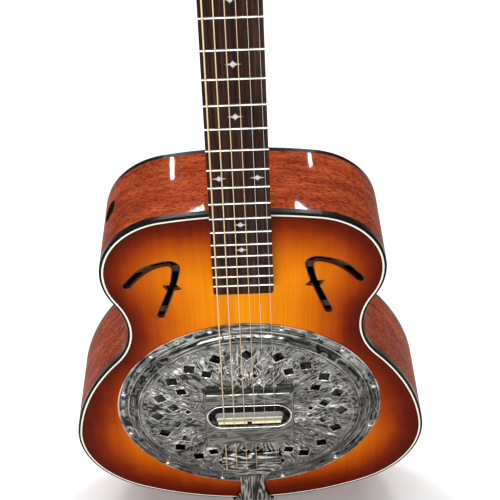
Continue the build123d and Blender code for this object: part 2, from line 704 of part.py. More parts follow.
with BuildPart() as side_cap:
    with BuildSketch(SIDE_CAP_PLANE.offset(8)):
        Circle(SIDE_CAP_RADIUS - 0.1)
    extrude(amount=-16)
    extrude(body_face(10, 0.35), amount=-110, mode=Mode.INTERSECT)
    extrude(body_face(10, 5.0), amount=-110, mode=Mode.SUBTRACT)
save(side_cap, "side_cap")


# ---- neck and fretboard -----------------------------------------------------------------------
HEADSTOCK_PLANE = Plane(origin=(0, -NECK_FACE_HEIGHT, NUT_THICKNESS), x_dir=(1, 0, 0),
                        z_dir=(0, -cos(radians(HEADSTOCK_TILT)), sin(radians(HEADSTOCK_TILT))))
FRETBOARD_END = fret_z(FRET_COUNT) - FRETBOARD_PAST_LAST_FRET
ROD_DEPTH = 4.0
ROD_CHANNEL = 6.2
ROD_START = -338.0
ROD_END = 1.0
ROD_POCKET_Y = 8.0
ROD_POCKET_LENGTH = 26.0
ROD_POCKET_WIDTH = 11.0
ROD_POCKET_DEPTH = 11.6


def neck_section(z, depth):
    """The neck's rounded cross-section at height z, flat in front."""
    half = neck_width(min(z, 0)) / 2
    with BuildSketch(Plane.XY.offset(z)) as section:
        with BuildLine():
            Line((-half, -NECK_FACE_HEIGHT), (half, -NECK_FACE_HEIGHT))
            Line((half, -NECK_FACE_HEIGHT), (half, -NECK_FACE_HEIGHT + 2))
            ThreePointArc((half, -NECK_FACE_HEIGHT + 2), (0, -NECK_FACE_HEIGHT + depth),
                          (-half, -NECK_FACE_HEIGHT + 2))
            Line((-half, -NECK_FACE_HEIGHT + 2), (-half, -NECK_FACE_HEIGHT))
        make_face()
    return section.sketch


def heel_section(depth, half_width, tip_z):
    """The heel's outline at a depth behind the soundboard's face: flat at the body, round in front."""
    shoulder_z = max(tip_z - half_width, BODY_TOP + 1)
    with BuildSketch(face_plane(-depth)) as section:
        with BuildLine():
            Line((-half_width, BODY_TOP - 4), (half_width, BODY_TOP - 4))
            Line((half_width, BODY_TOP - 4), (half_width, shoulder_z))
            ThreePointArc((half_width, shoulder_z), (0, tip_z), (-half_width, shoulder_z))
            Line((-half_width, shoulder_z), (-half_width, BODY_TOP - 4))
        make_face()
    return section.sketch


def headstock_face(height):
    """The headstock's outline in a plane at this height in front of its wooden face."""
    with BuildSketch(HEADSTOCK_PLANE.offset(height)) as outline:
        with BuildLine():
            Line((0, 0), (NUT_WIDTH / 2, 0))
            flare = Spline((NUT_WIDTH / 2, 0), (28, 14), (33, 30), (34, 60), tangents=((0.3, 1), (0, 1)))
            edge = Line(flare @ 1, (36.5, HEADSTOCK_LENGTH - 10))
            corner = ThreePointArc(edge @ 1, (33, HEADSTOCK_LENGTH - 1), (26, HEADSTOCK_LENGTH - 1))
            ThreePointArc(corner @ 1, (12, HEADSTOCK_LENGTH - 1.5), (0, HEADSTOCK_LENGTH + 2))
            mirror(about=Plane.YZ)
        make_face()
    return outline.sketch


def tuner_places():
    """Each tuner's side, row and place on the headstock, in the order of the strings."""
    rows = (0, 1, 2, 2, 1, 0)
    sides = (-1, -1, -1, 1, 1, 1)
    return [(side, row, side * POST_OFFSETS[row], POST_ROWS[row]) for side, row in zip(sides, rows)]


with BuildPart() as neck:
    loft([neck_section(BODY_TOP - 2, NECK_DEPTH_HEEL), neck_section(0, NECK_DEPTH_NUT)])
    extrude(neck_section(0, NECK_DEPTH_NUT), amount=NUT_THICKNESS + 6)
    extrude(headstock_face(0), amount=-HEADSTOCK_THICKNESS)
    loft([heel_section(2, neck_width(BODY_TOP) / 2 - 0.8, -300),
          heel_section(16, neck_width(BODY_TOP) / 2 - 2.5, -318),
          heel_section(42, 17, -339), heel_section(HEEL_DEPTH, 12, -346)])
    extrude(body_face(60), amount=-200, mode=Mode.SUBTRACT)
    extrude(headstock_face(0), amount=10, mode=Mode.SUBTRACT)
    with BuildSketch(Plane.XY.offset(ROD_START - 1)):
        with Locations((0, (ROD_DEPTH + ROD_CHANNEL / 2 - NECK_FACE_HEIGHT) / 2)):
            Rectangle(ROD_CHANNEL, ROD_DEPTH + ROD_CHANNEL / 2 + NECK_FACE_HEIGHT)
    extrude(amount=ROD_END - ROD_START + 1, mode=Mode.SUBTRACT)
    with BuildSketch(HEADSTOCK_PLANE.offset(2)):
        with Locations((0, ROD_POCKET_Y)):
            SlotOverall(ROD_POCKET_LENGTH, ROD_POCKET_WIDTH, rotation=90)
    extrude(amount=-2 - ROD_POCKET_DEPTH, mode=Mode.SUBTRACT)
    with BuildSketch(HEADSTOCK_PLANE.offset(2)):
        for side, row, x, y in tuner_places():
            with Locations((x, y)):
                Circle(4.2)
    extrude(amount=-HEADSTOCK_THICKNESS - 4, mode=Mode.SUBTRACT)
    with BuildSketch(HEADSTOCK_PLANE.offset(1)):
        with Locations(*COVER_SCREWS):
            Circle(1.2)
    extrude(amount=-6, mode=Mode.SUBTRACT)
    with BuildSketch(HEADSTOCK_PLANE.offset(-HEADSTOCK_THICKNESS - 1)):
        for side, row, x, y in tuner_places():
            with Locations((x - side * HOUSING_SCREW_X, y + HOUSING_SCREW_Y)):
                Circle(1.2)
    extrude(amount=7, mode=Mode.SUBTRACT)
    with BuildSketch(Plane.XY.offset(BODY_TOP - 4)):
        with Locations(*[(0, depth) for depth in NECK_BOLT_DEPTHS]):
            Circle(3.0)
    extrude(amount=18, mode=Mode.SUBTRACT)
save(neck, "neck")

with BuildPart() as neck_bolts:
    with BuildSketch(Plane.XY.offset(BODY_TOP - 4 - NECK_BLOCK_SIZE[1] + 1.5)):
        with Locations(*[(0, depth) for depth in NECK_BOLT_DEPTHS]):
            Circle(3.0)
    extrude(amount=NECK_BLOCK_SIZE[1] + 15)
    with BuildSketch(Plane.XY.offset(BODY_TOP - 4 - NECK_BLOCK_SIZE[1] + 1.5)):
        with Locations(*[(0, depth) for depth in NECK_BOLT_DEPTHS]):
            Circle(9)
    extrude(amount=-1.5)
    with BuildSketch(Plane.XY.offset(BODY_TOP - 4 - NECK_BLOCK_SIZE[1])):
        with Locations(*[(0, depth) for depth in NECK_BOLT_DEPTHS]):
            RegularPolygon(5.6, 6)
    extrude(amount=-5)
save(neck_bolts, "neck_bolts")

with BuildPart() as headstock_veneer:
    extrude(headstock_face(0), amount=VENEER_THICKNESS)
    with BuildSketch(HEADSTOCK_PLANE):
        with Locations((0, ROD_POCKET_Y)):
            SlotOverall(ROD_POCKET_LENGTH, ROD_POCKET_WIDTH, rotation=90)
        for side, row, x, y in tuner_places():
            with Locations((x, y)):
                Circle(4.2)
        with Locations(*COVER_SCREWS):
            Circle(1.2)
    extrude(amount=4, mode=Mode.SUBTRACT)
    with BuildSketch(Plane.XY.offset(NUT_THICKNESS)):
        Rectangle(80, 60)
    extrude(amount=-10, mode=Mode.SUBTRACT)
save(headstock_veneer, "headstock_veneer")


def board_outline(height, end_z, start_z):
    """The fretboard's tapering outline between two heights along the neck."""
    with BuildSketch(face_plane(height)) as outline:
        half_start = neck_width(start_z) / 2
        half_end = neck_width(end_z) / 2
        Polygon((-half_start, start_z), (half_start, start_z), (half_end, end_z), (-half_end, end_z),
                align=None)
        fillet(outline.vertices().group_by(Axis.Z)[0], radius=3)
    return outline.sketch


INLAY_DEPTH = 1.0
INLAY_FRETS = (3, 5, 7, 9, 12, 15, 17)
DOT_RADIUS = 1.0


def inlay_places():
    """Centres of the fretboard inlays; the twelfth fret has two."""
    places = []
    for number in INLAY_FRETS:
        middle = (fret_z(number) + fret_z(number - 1)) / 2
        across = (-16.0, 16.0) if number == 12 else (0.0,)
        places += [(x, middle) for x in across]
    return places


def dot_places():
    """Heights of the small side dots along the neck; the twelfth fret has two."""
    places = []
    for number in INLAY_FRETS:
        middle = (fret_z(number) + fret_z(number - 1)) / 2
        places += [middle - 4, middle + 4] if number == 12 else [middle]
    return places


def inlay_sketch(height):
    """All the inlays as one sketch: a six-sided centre with thin pointed wings and short spikes."""
    with BuildSketch(face_plane(height)) as pattern:
        with Locations(*inlay_places()):
            RegularPolygon(2.4, 6)
            Polygon((-6.4, 0), (-1.6, 0.9), (1.6, 0.9), (6.4, 0), (1.6, -0.9), (-1.6, -0.9))
            Polygon((0, -3.8), (0.9, 0), (0, 3.8), (-0.9, 0))
    return pattern.sketch


def dot_solids(length):
    """Short rods for the side dots, from the bass edge of the fretboard inwards."""
    with BuildPart() as dots:
        for z in dot_places():
            edge = Plane(origin=(-neck_width(z) / 2 - 0.3, -NECK_FACE_HEIGHT - 3.2, z), x_dir=(0, 1, 0),
                         z_dir=(1, 0, 0))
            with BuildSketch(edge):
                Circle(DOT_RADIUS)
            extrude(amount=length)
    return dots.part


with BuildPart() as fretboard:
    extrude(board_outline(NECK_FACE_HEIGHT, FRETBOARD_END, 0), amount=FRETBOARD_THICKNESS)
    board_solid = fretboard.part
    for number in range(1, FRET_COUNT + 1):
        with BuildSketch(Plane.YZ):
            with Locations((-FRETBOARD_TOP, fret_z(number))):
                Rectangle(2 * FRET_TANG, FRET_SLOT)
        extrude(amount=40, both=True, mode=Mode.SUBTRACT)
    extrude(inlay_sketch(FRETBOARD_TOP), amount=-INLAY_DEPTH, mode=Mode.SUBTRACT)
    add(dot_solids(2.3), mode=Mode.SUBTRACT)
save(fretboard, "fretboard")

with BuildPart() as fret_inlays:
    extrude(inlay_sketch(FRETBOARD_TOP), amount=-INLAY_DEPTH)
    add(dot_solids(2.3) & board_solid)
save(fret_inlays, "fret_inlays")

with BuildPart() as frets:
    for number in range(1, FRET_COUNT + 1):
        z = fret_z(number)
        half = neck_width(z) / 2
        with BuildSketch(Plane.YZ.offset(-half)):
            with BuildLine():
                ThreePointArc((-FRETBOARD_TOP, z - FRET_CROWN_WIDTH / 2), (-FRETBOARD_TOP - FRET_CROWN, z),
                              (-FRETBOARD_TOP, z + FRET_CROWN_WIDTH / 2))
                Polyline((-FRETBOARD_TOP, z + FRET_CROWN_WIDTH / 2), (-FRETBOARD_TOP, z + FRET_SLOT / 2),
                         (-FRETBOARD_TOP + FRET_TANG, z + FRET_SLOT / 2),
                         (-FRETBOARD_TOP + FRET_TANG, z - FRET_SLOT / 2),
                         (-FRETBOARD_TOP, z - FRET_SLOT / 2), (-FRETBOARD_TOP, z - FRET_CROWN_WIDTH / 2))
            make_face()
        extrude(amount=2 * half)
save(frets, "frets")

with BuildPart() as extension_shim:
    extrude(board_outline(0, FRETBOARD_END, BODY_TOP - 0.1), amount=NECK_FACE_HEIGHT)
    extrude(body_face(10), amount=-20, mode=Mode.INTERSECT)
save(extension_shim, "extension_shim")

with BuildPart() as nut:
    with BuildSketch(Plane.YZ):
        with BuildLine():
            Polyline((-STRING_HEIGHT_NUT - 0.4, 0), (-NECK_FACE_HEIGHT, 0),
                     (-NECK_FACE_HEIGHT, NUT_THICKNESS), (-STRING_HEIGHT_NUT + 1.8, NUT_THICKNESS))
            ThreePointArc((-STRING_HEIGHT_NUT + 1.8, NUT_THICKNESS), (-STRING_HEIGHT_NUT + 0.1, 3),
                          (-STRING_HEIGHT_NUT - 0.4, 0))
        make_face()
    extrude(amount=NUT_WIDTH / 2, both=True)
    for index, diameter in enumerate(STRING_DIAMETERS):
        with BuildSketch(Plane.XY.offset(-1)):
            with Locations((spread(STRING_SPREAD_NUT, index), -STRING_HEIGHT_NUT)):
                Circle(diameter / 2 + 0.1)
            with Locations((spread(STRING_SPREAD_NUT, index), -STRING_HEIGHT_NUT - 1.5)):
                Rectangle(diameter + 0.2, 3)
        extrude(amount=NUT_THICKNESS + 3, mode=Mode.SUBTRACT)
save(nut, "nut")

# ---- truss rod --------------------------------------------------------------------------------
ROD_RADIUS = 2.5
ROD_NUT_LENGTH = 9.0
ROD_NUT_RADIUS = 3.6

with BuildPart() as truss_rod:
    with BuildSketch(Plane.XY.offset(ROD_START)):
        with Locations((0, ROD_DEPTH)):
            Rectangle(ROD_CHANNEL - 0.2, ROD_CHANNEL - 0.2)
    extrude(amount=ROD_END - ROD_START)
    with BuildSketch(Plane.XY.offset(ROD_END)):
        with Locations((0, ROD_DEPTH)):
            Circle(ROD_RADIUS)
    extrude(amount=8)
save(truss_rod, "truss_rod")

with BuildPart() as truss_rod_nut:
    with BuildSketch(Plane.XY.offset(3.5)):
        with Locations((0, ROD_DEPTH)):
            Circle(ROD_NUT_RADIUS)
            Circle(ROD_RADIUS + RUNNING_GAP, mode=Mode.SUBTRACT)
    extrude(amount=ROD_NUT_LENGTH)
    with BuildSketch(Plane.XY.offset(9.3)):
        with Locations((0, ROD_DEPTH)):
            Circle(ROD_NUT_RADIUS)
            RegularPolygon(2.3, 6, mode=Mode.SUBTRACT)
    extrude(amount=3.5 + ROD_NUT_LENGTH - 9.3)
save(truss_rod_nut, "truss_rod_nut")

with BuildPart() as truss_rod_cover:
    with BuildSketch(HEADSTOCK_PLANE.offset(VENEER_THICKNESS)) as cover_outline:
        Polygon((-13, 1.5), (13, 1.5), (8.5, 36), (-8.5, 36), align=None)
        fillet(cover_outline.vertices(), radius=3)
        with Locations(*COVER_SCREWS):
            Circle(1.2, mode=Mode.SUBTRACT)
    extrude(amount=2)
    chamfer(truss_rod_cover.faces().sort_by(Axis.Y)[0].outer_wire().edges(), length=0.6)
save(truss_rod_cover, "truss_rod_cover")


# ---- tuners -----------------------------------------------------------------------------------
BACK_OF_HEADSTOCK = -HEADSTOCK_THICKNESS
GEAR_CENTRE = BACK_OF_HEADSTOCK - 6.0
GEAR_WIDTH = 3.4
KEY_OFFSET = GEAR_RADIUS + WORM_RADIUS + 0.3
HOUSING_SIZE = (17.0, 26.0)
HOUSING_SHIFT = -3.5
HOUSING_WALL = 1.4
BUTTON_X = 37.5
BUTTON_LENGTH = 15.0


def on_headstock(x, y, height):
    """A plane parallel to the headstock's face, with its origin at this place."""
    level = HEADSTOCK_PLANE.offset(height)
    return level.shift_origin(level.from_local_coords((x, y, 0)))


def key_plane(x, y):
    """A plane across a tuner key's shaft at x, with its normal along +X."""
    origin = HEADSTOCK_PLANE.from_local_coords((x, y - KEY_OFFSET, GEAR_CENTRE))
    return Plane(origin=origin, x_dir=HEADSTOCK_PLANE.y_dir, z_dir=(1, 0, 0))


with BuildPart() as tuner_housings:
    for side, row, x, y in tuner_places():
        with BuildSketch(on_headstock(x, y + HOUSING_SHIFT, BACK_OF_HEADSTOCK)):
            RectangleRounded(HOUSING_SIZE[0], HOUSING_SIZE[1], 4)
        extrude(amount=-HOUSING_THICKNESS)
        with BuildSketch(on_headstock(x, y, BACK_OF_HEADSTOCK)):
            Circle(POST_RADIUS + RUNNING_GAP)
        extrude(amount=-HOUSING_THICKNESS + 1.2, mode=Mode.SUBTRACT)
        with BuildSketch(on_headstock(x, y + HOUSING_SHIFT, GEAR_CENTRE + GEAR_WIDTH / 2 + 1.2)):
            room = (HOUSING_SIZE[0] - 2 * HOUSING_WALL, HOUSING_SIZE[1] - 2 * HOUSING_WALL - 3)
            RectangleRounded(room[0], room[1], 2.5)
        extrude(amount=-GEAR_WIDTH - 2.4, mode=Mode.SUBTRACT)
        with BuildSketch(key_plane(x + side * (HOUSING_SIZE[0] / 2 - 3), y)):
            Circle(KEY_SHAFT_RADIUS + RUNNING_GAP)
        extrude(amount=side * 8, mode=Mode.SUBTRACT)
        screw_x = x - side * HOUSING_SCREW_X
        with BuildSketch(on_headstock(screw_x, y + HOUSING_SCREW_Y, BACK_OF_HEADSTOCK + 1)):
            Circle(1.2)
        extrude(amount=-HOUSING_THICKNESS - 2, mode=Mode.SUBTRACT)
save(tuner_housings, "tuner_housings")

with BuildPart() as tuner_bushings:
    for side, row, x, y in tuner_places():
        with BuildSketch(on_headstock(x, y, VENEER_THICKNESS)):
            RegularPolygon(6.0, 6)
        extrude(amount=1.8)
        with BuildSketch(on_headstock(x, y, VENEER_THICKNESS)):
            Circle(4.2)
        extrude(amount=-9)
        with BuildSketch(on_headstock(x, y, VENEER_THICKNESS + 3)):
            Circle(POST_RADIUS + RUNNING_GAP)
        extrude(amount=-14, mode=Mode.SUBTRACT)
save(tuner_bushings, "tuner_bushings")

for index, (side, row, x, y) in enumerate(tuner_places()):
    with BuildPart() as post:
        with BuildSketch(on_headstock(x, y, BACK_OF_HEADSTOCK - HOUSING_THICKNESS + 1.3)):
            Circle(POST_RADIUS)
        extrude(amount=HEADSTOCK_THICKNESS + HOUSING_THICKNESS - 1.3 + POST_TOP)
        with BuildSketch(on_headstock(x, y, GEAR_CENTRE - GEAR_WIDTH / 2)):
            Circle(GEAR_RADIUS)
            with PolarLocations(GEAR_RADIUS + 0.5, GEAR_TEETH):
                Circle(0.8, mode=Mode.SUBTRACT)
        extrude(amount=GEAR_WIDTH)
    save(post, f"tuner_post_{index + 1}")

for index, (side, row, x, y) in enumerate(tuner_places()):
    inner = x - side * (HOUSING_SIZE[0] / 2 - HOUSING_WALL - 0.5)
    button_plane = Plane(origin=key_plane(side * (BUTTON_X + BUTTON_LENGTH / 2), y).origin,
                         x_dir=(1, 0, 0), z_dir=HEADSTOCK_PLANE.z_dir)
    with BuildPart() as key:
        with BuildSketch(button_plane.offset(-3.6)):
            Ellipse(BUTTON_LENGTH / 2, 10.5)
        extrude(amount=7.2)
        fillet(key.edges(), radius=2.4)
        with BuildSketch(key_plane(inner, y)):
            Circle(WORM_RADIUS - 0.2)
        extrude(amount=side * (HOUSING_SIZE[0] - 2 * HOUSING_WALL - 2.2))
        with BuildSketch(key_plane(inner, y)):
            Circle(KEY_SHAFT_RADIUS)
        extrude(amount=side * (abs(BUTTON_X - abs(inner)) + 6))
        with BuildSketch(key_plane(side * (BUTTON_X - 2.2), y)):
            Circle(3.6)
        extrude(amount=side * 3.0)
    save(key, f"tuner_key_{index + 1}")


def small_screw(x, y, height, direction):
    """A small round-head screw at a place on the headstock, driven along direction times its normal."""
    with BuildPart() as screw:
        with BuildSketch(on_headstock(x, y, height)):
            Circle(2.1)
        extrude(amount=-direction * 1.0)
        with BuildSketch(on_headstock(x, y, height)):
            Circle(1.15)
        extrude(amount=direction * 7.0)
        with BuildSketch(on_headstock(x, y, height - direction * 0.6)):
            Rectangle(6, 0.6)
        extrude(amount=-direction * 2, mode=Mode.SUBTRACT)
    return screw.part


with BuildPart() as headstock_screws:
    for x, y in COVER_SCREWS:
        add(small_screw(x, y, VENEER_THICKNESS + 2, -1))
    for side, row, x, y in tuner_places():
        screw_x = x - side * HOUSING_SCREW_X
        add(small_screw(screw_x, y + HOUSING_SCREW_Y, BACK_OF_HEADSTOCK - HOUSING_THICKNESS, 1))
save(headstock_screws, "headstock_screws")


# ---- strings ----------------------------------------------------------------------------------
BALL_RADIUS = 1.7
BALL_LENGTH = 3.2
BALL_DEPTH = 7.15
WRAP_TURNS = 3
WRAP_GAP = 0.35
STRING_PLANE_HEIGHT = (STRING_HEIGHT_NUT - NECK_FACE_HEIGHT) * cos(radians(HEADSTOCK_TILT))
STRING_PLANE = HEADSTOCK_PLANE.offset(STRING_PLANE_HEIGHT)


def wrap_points(index, side, x, y, ring):
    """Where a string meets its post's wrapping circle, and two further points round that circle."""
    start = STRING_PLANE.to_local_coords(string_point(index, NUT_THICKNESS))
    centre_x = x - start.X
    centre_y = y - start.Y
    distance = hypot(centre_x, centre_y)
    bearing = atan2(centre_y, centre_x) + side * atan2(ring, sqrt(distance ** 2 - ring ** 2))
    reach = sqrt(distance ** 2 - ring ** 2)
    touch_angle = atan2(start.Y + reach * sin(bearing) - y, start.X + reach * cos(bearing) - x)
    angles = [touch_angle - side * radians(turn) for turn in (0, 150, 300)]
    return [STRING_PLANE.from_local_coords((x + ring * cos(a), y + ring * sin(a), 0)) for a in angles]


for index, (side, row, x, y) in enumerate(tuner_places()):
    radius = STRING_DIAMETERS[index] / 2
    ring = POST_RADIUS + WRAP_GAP + radius
    touch, halfway, end = wrap_points(index, side, x, y, ring)
    anchor_x = spread(STRING_SPREAD_TAIL, index)
    ball_top = -BALL_DEPTH - BALL_RADIUS + 0.4
    with BuildPart() as string:
        with BuildLine() as route:
            run = FilletPolyline((anchor_x, ball_top, TAIL_HOLE_Z - 0.4),
                                 (anchor_x, -STRING_HEIGHT_TAIL, TAIL_HOLE_Z),
                                 string_point(index, SADDLE_Z), string_point(index, NUT_THICKNESS), touch,
                                 radius=(1.0, 6.0, 6.0))
            ThreePointArc(touch, halfway, end)
        with BuildSketch(Plane(origin=route.wire() @ 0, z_dir=route.wire() % 0)):
            Circle(radius)
        sweep(path=route.wire())
        with BuildSketch(Plane.YZ.offset(anchor_x - BALL_LENGTH / 2)):
            with Locations((-BALL_DEPTH, TAIL_HOLE_Z - 0.4)):
                Circle(BALL_RADIUS)
        extrude(amount=BALL_LENGTH)
        for turn in range(1, WRAP_TURNS):
            height = STRING_PLANE_HEIGHT - turn * (2 * radius + 0.05)
            post_axis = Axis(HEADSTOCK_PLANE.from_local_coords((x, y, 0)), HEADSTOCK_PLANE.z_dir)
            ring_plane = Plane(origin=HEADSTOCK_PLANE.from_local_coords((x + ring, y, height)),
                               x_dir=(1, 0, 0), z_dir=HEADSTOCK_PLANE.y_dir)
            with BuildSketch(ring_plane):
                Circle(radius)
            revolve(axis=post_axis)
    save(string, f"string_{index + 1}")
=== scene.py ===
"""Looks, lights and camera for the sunburst resonator guitar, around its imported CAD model.

Metres, in the CAD frame: +X is the treble side, +Y goes into the body and +Z runs up the neck.
"""
import math

import bpy
import numpy as np
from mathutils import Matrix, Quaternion, Vector, kdtree
from mathutils.geometry import delaunay_2d_cdt


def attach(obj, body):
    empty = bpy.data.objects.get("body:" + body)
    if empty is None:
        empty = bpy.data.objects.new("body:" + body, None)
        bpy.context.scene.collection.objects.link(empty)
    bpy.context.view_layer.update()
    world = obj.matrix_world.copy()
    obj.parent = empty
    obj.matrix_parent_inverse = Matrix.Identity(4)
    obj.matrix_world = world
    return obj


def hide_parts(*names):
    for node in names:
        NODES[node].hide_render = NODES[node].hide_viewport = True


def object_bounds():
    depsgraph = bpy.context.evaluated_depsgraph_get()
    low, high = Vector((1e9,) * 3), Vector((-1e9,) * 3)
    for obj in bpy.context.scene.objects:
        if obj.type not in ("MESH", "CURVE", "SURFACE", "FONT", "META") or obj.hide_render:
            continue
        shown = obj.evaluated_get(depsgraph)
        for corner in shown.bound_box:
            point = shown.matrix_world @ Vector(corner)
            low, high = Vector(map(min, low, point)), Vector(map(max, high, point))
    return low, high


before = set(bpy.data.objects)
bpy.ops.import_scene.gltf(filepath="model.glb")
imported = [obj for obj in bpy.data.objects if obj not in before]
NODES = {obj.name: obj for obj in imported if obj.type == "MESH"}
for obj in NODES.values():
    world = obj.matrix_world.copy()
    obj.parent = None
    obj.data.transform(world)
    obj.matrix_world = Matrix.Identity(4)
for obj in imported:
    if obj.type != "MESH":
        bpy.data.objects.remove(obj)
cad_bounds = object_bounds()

MM = 0.001

# ---- sizes shared with the CAD model, in millimetres ------------------------------------------
BODY_TOP = -362.7
BODY_ARCS = ((461.0, 8.9), (74.0, 109.2), (76.0, -68.9), (241.0, 31.6), (113.0, 71.7))
SIDE_THICKNESS = 2.5
PURFLING_WIDTH = 1.7
TOP_THICKNESS = 3.5
PLATE_CENTRE_Z = -650.5
RECESS_RADIUS = 134.6
PLATE_RADIUS = 141.5
SCREW_CIRCLE = 136.65
FIELD_RADIUS = 120.0
FIELD_EDGE_HEIGHT = 4.4
FIELD_CENTRE_HEIGHT = 6.6
SHEET = 1.0
REST_HALF_WIDTH = 48.0
REST_FRONT_Z = -604.0
REST_REAR_Z = -682.0
SADDLE_Z = -652.0
OPENING_SIZE = (84.0, 52.0)
OPENING_Z = SADDLE_Z - 2.0
BAR_REAR_Z = -764.0
DIAMOND_ROWS = (        # radius, size and the angles from the middle of each of the four fans
    (48.0, 9.0, (-32, -12, 12, 32)),
    (66.0, 6.0, (-6, 6)),
    (82.0, 11.0, (-31, -10.5, 10.5, 31)),
    (99.0, 12.5, (-37, -18.5, 0, 18.5, 37)),
)
DIAMOND_FILL = 0.9
CLEAR_BESIDE_REST = 9.0     # how far a diamond's centre must lie from the hand rest, on each edge
CLEAR_IN_FRONT = -6.0
CLEAR_BEHIND = 14.0


# ---- shader helpers ---------------------------------------------------------------------------
def new_material(name):
    """A material with only a Principled surface: returns the material and that shader."""
    material = bpy.data.materials.new(name)
    material.use_nodes = True
    tree = material.node_tree
    tree.nodes.clear()
    output = tree.nodes.new("ShaderNodeOutputMaterial")
    shader = tree.nodes.new("ShaderNodeBsdfPrincipled")
    tree.links.new(shader.outputs[0], output.inputs["Surface"])
    return material, shader


def node(tree, kind, settings=(), **sockets):
    """Adds a node; each socket is given a value or, when it is an output socket, a link."""
    made = tree.nodes.new(kind)
    for key, value in dict(settings).items():
        setattr(made, key, value)
    for key, value in sockets.items():
        socket = made.inputs[int(key[1:])] if key[0] == "i" and key[1:].isdigit() else made.inputs[key]
        if isinstance(value, bpy.types.NodeSocket):
            tree.links.new(value, socket)
        else:
            socket.default_value = value
    return made


def math_node(tree, operation, first, second=0.0):
    """One arithmetic step on two values or sockets."""
    return node(tree, "ShaderNodeMath", {"operation": operation}, i0=first, i1=second).outputs[0]


def object_place(tree, scale=(1, 1, 1)):
    """The place on the object, in metres, stretched by scale along each axis."""
    place = node(tree, "ShaderNodeTexCoord").outputs["Object"]
    return node(tree, "ShaderNodeMapping", Vector=place, Scale=scale).outputs[0]


def noise(tree, scale, stretch=(1, 1, 1), detail=4.0, roughness=0.55, distortion=0.0):
    """Fractal noise between 0 and 1, finer along the axes with a larger stretch."""
    place = object_place(tree, stretch)
    texture = node(tree, "ShaderNodeTexNoise", Vector=place, Scale=scale, Detail=detail,
                   Roughness=roughness, Distortion=distortion)
    return texture.outputs["Fac"]


def ramp(tree, value, *stops):
    """Colours along a value: each stop is a place from 0 to 1 and a colour."""
    made = node(tree, "ShaderNodeValToRGB", Fac=value)
    band = made.color_ramp
    while len(band.elements) < len(stops):
        band.elements.new(0.5)
    for element, (position, colour) in zip(band.elements, stops):
        element.position = position
        element.color = (*colour, 1.0)
    return made.outputs["Color"]


def grey(tree, value, *stops):
    """Plain numbers along a value: each stop is a place from 0 to 1 and a number."""
    return ramp(tree, value, *((position, (level, level, level)) for position, level in stops))


def mix(tree, factor, first, second, blend="MIX"):
    """Blends two colours or colour sockets."""
    made = tree.nodes.new("ShaderNodeMix")
    made.data_type = "RGBA"
    made.blend_type = blend
    for socket, value in ((made.inputs[0], factor), (made.inputs[6], first), (made.inputs[7], second)):
        if isinstance(value, bpy.types.NodeSocket):
            tree.links.new(value, socket)
        elif isinstance(value, tuple):
            socket.default_value = (*value, 1.0)
        else:
            socket.default_value = value
    return made.outputs[2]


def link(tree, value, socket):
    """Feeds an output socket into an input socket."""
    tree.links.new(value, socket)


def bump(tree, shader, height, strength, distance=0.0005):
    """Presses a height pattern into the surface."""
    made = node(tree, "ShaderNodeBump", Height=height, Strength=strength, Distance=distance)
    link(tree, made.outputs[0], shader.inputs["Normal"])


def lacquer(shader, roughness):
    """A clear glossy finish over wood of the given roughness, which has no gloss of its own."""
    shader.inputs["Roughness"].default_value = roughness
    shader.inputs["Specular IOR Level"].default_value = 0.0
    shader.inputs["Coat Weight"].default_value = 0.12
    shader.inputs["Coat Roughness"].default_value = 0.03
    shader.inputs["Coat IOR"].default_value = 1.34


# ---- materials --------------------------------------------------------------------------------
def sunburst_top():
    """Spruce under a burst from amber in the middle to dark red-brown at the edge."""
    material, shader = new_material("sunburst_top")
    tree = material.node_tree
    inward = node(tree, "ShaderNodeAttribute", {"attribute_name": "edge_distance"}).outputs["Fac"]
    blotch = noise(tree, 13.0, detail=5.0, roughness=0.6)
    uneven = math_node(tree, "MULTIPLY", math_node(tree, "SUBTRACT", blotch, 0.5), 0.20)
    depth = math_node(tree, "ADD", inward, uneven)
    burst = ramp(tree, depth, (0.0, (0.070, 0.006, 0.002)), (0.09, (0.105, 0.009, 0.002)),
                 (0.17, (0.19, 0.019, 0.002)), (0.29, (0.38, 0.058, 0.002)),
                 (0.46, (0.60, 0.138, 0.002)), (0.70, (0.76, 0.218, 0.003)),
                 (1.0, (0.83, 0.280, 0.004)))
    grain = noise(tree, 1.0, (1050, 60, 7), detail=3.0, roughness=0.7)
    lines = grey(tree, grain, (0.30, 0.80), (0.55, 1.0))
    wide = noise(tree, 1.0, (120, 30, 1.2), detail=2.0)
    bands = grey(tree, wide, (0.35, 0.90), (0.65, 1.05))
    colour = mix(tree, 1.0, burst, lines, "MULTIPLY")
    colour = mix(tree, 0.7, colour, bands, "MULTIPLY")
    link(tree, colour, shader.inputs["Base Color"])
    lacquer(shader, 0.38)
    bump(tree, shader, grain, 0.03, 0.0002)
    return material


def mahogany(name, along, dark, middle, light, pore_strength=0.75):
    """Red-brown mahogany with dark pores; along is the stretch that lays the grain."""
    material, shader = new_material(name)
    tree = material.node_tree
    broader = tuple(value * 0.12 for value in along)
    figure = noise(tree, 1.0, broader, detail=5.0, roughness=0.6)
    colour = ramp(tree, figure, (0.30, dark), (0.50, middle), (0.70, light))
    pores = noise(tree, 1.0, along, detail=2.0, roughness=0.6)
    flecks = grey(tree, pores, (0.38, 0.18), (0.50, 1.0))
    colour = mix(tree, pore_strength, colour, flecks, "MULTIPLY")
    ribbon = noise(tree, 9.0, detail=2.0)
    colour = mix(tree, 0.5, colour, grey(tree, ribbon, (0.35, 0.70), (0.65, 1.15)), "MULTIPLY")
    link(tree, colour, shader.inputs["Base Color"])
    lacquer(shader, 0.35)
    bump(tree, shader, pores, 0.05, 0.0002)
    return material


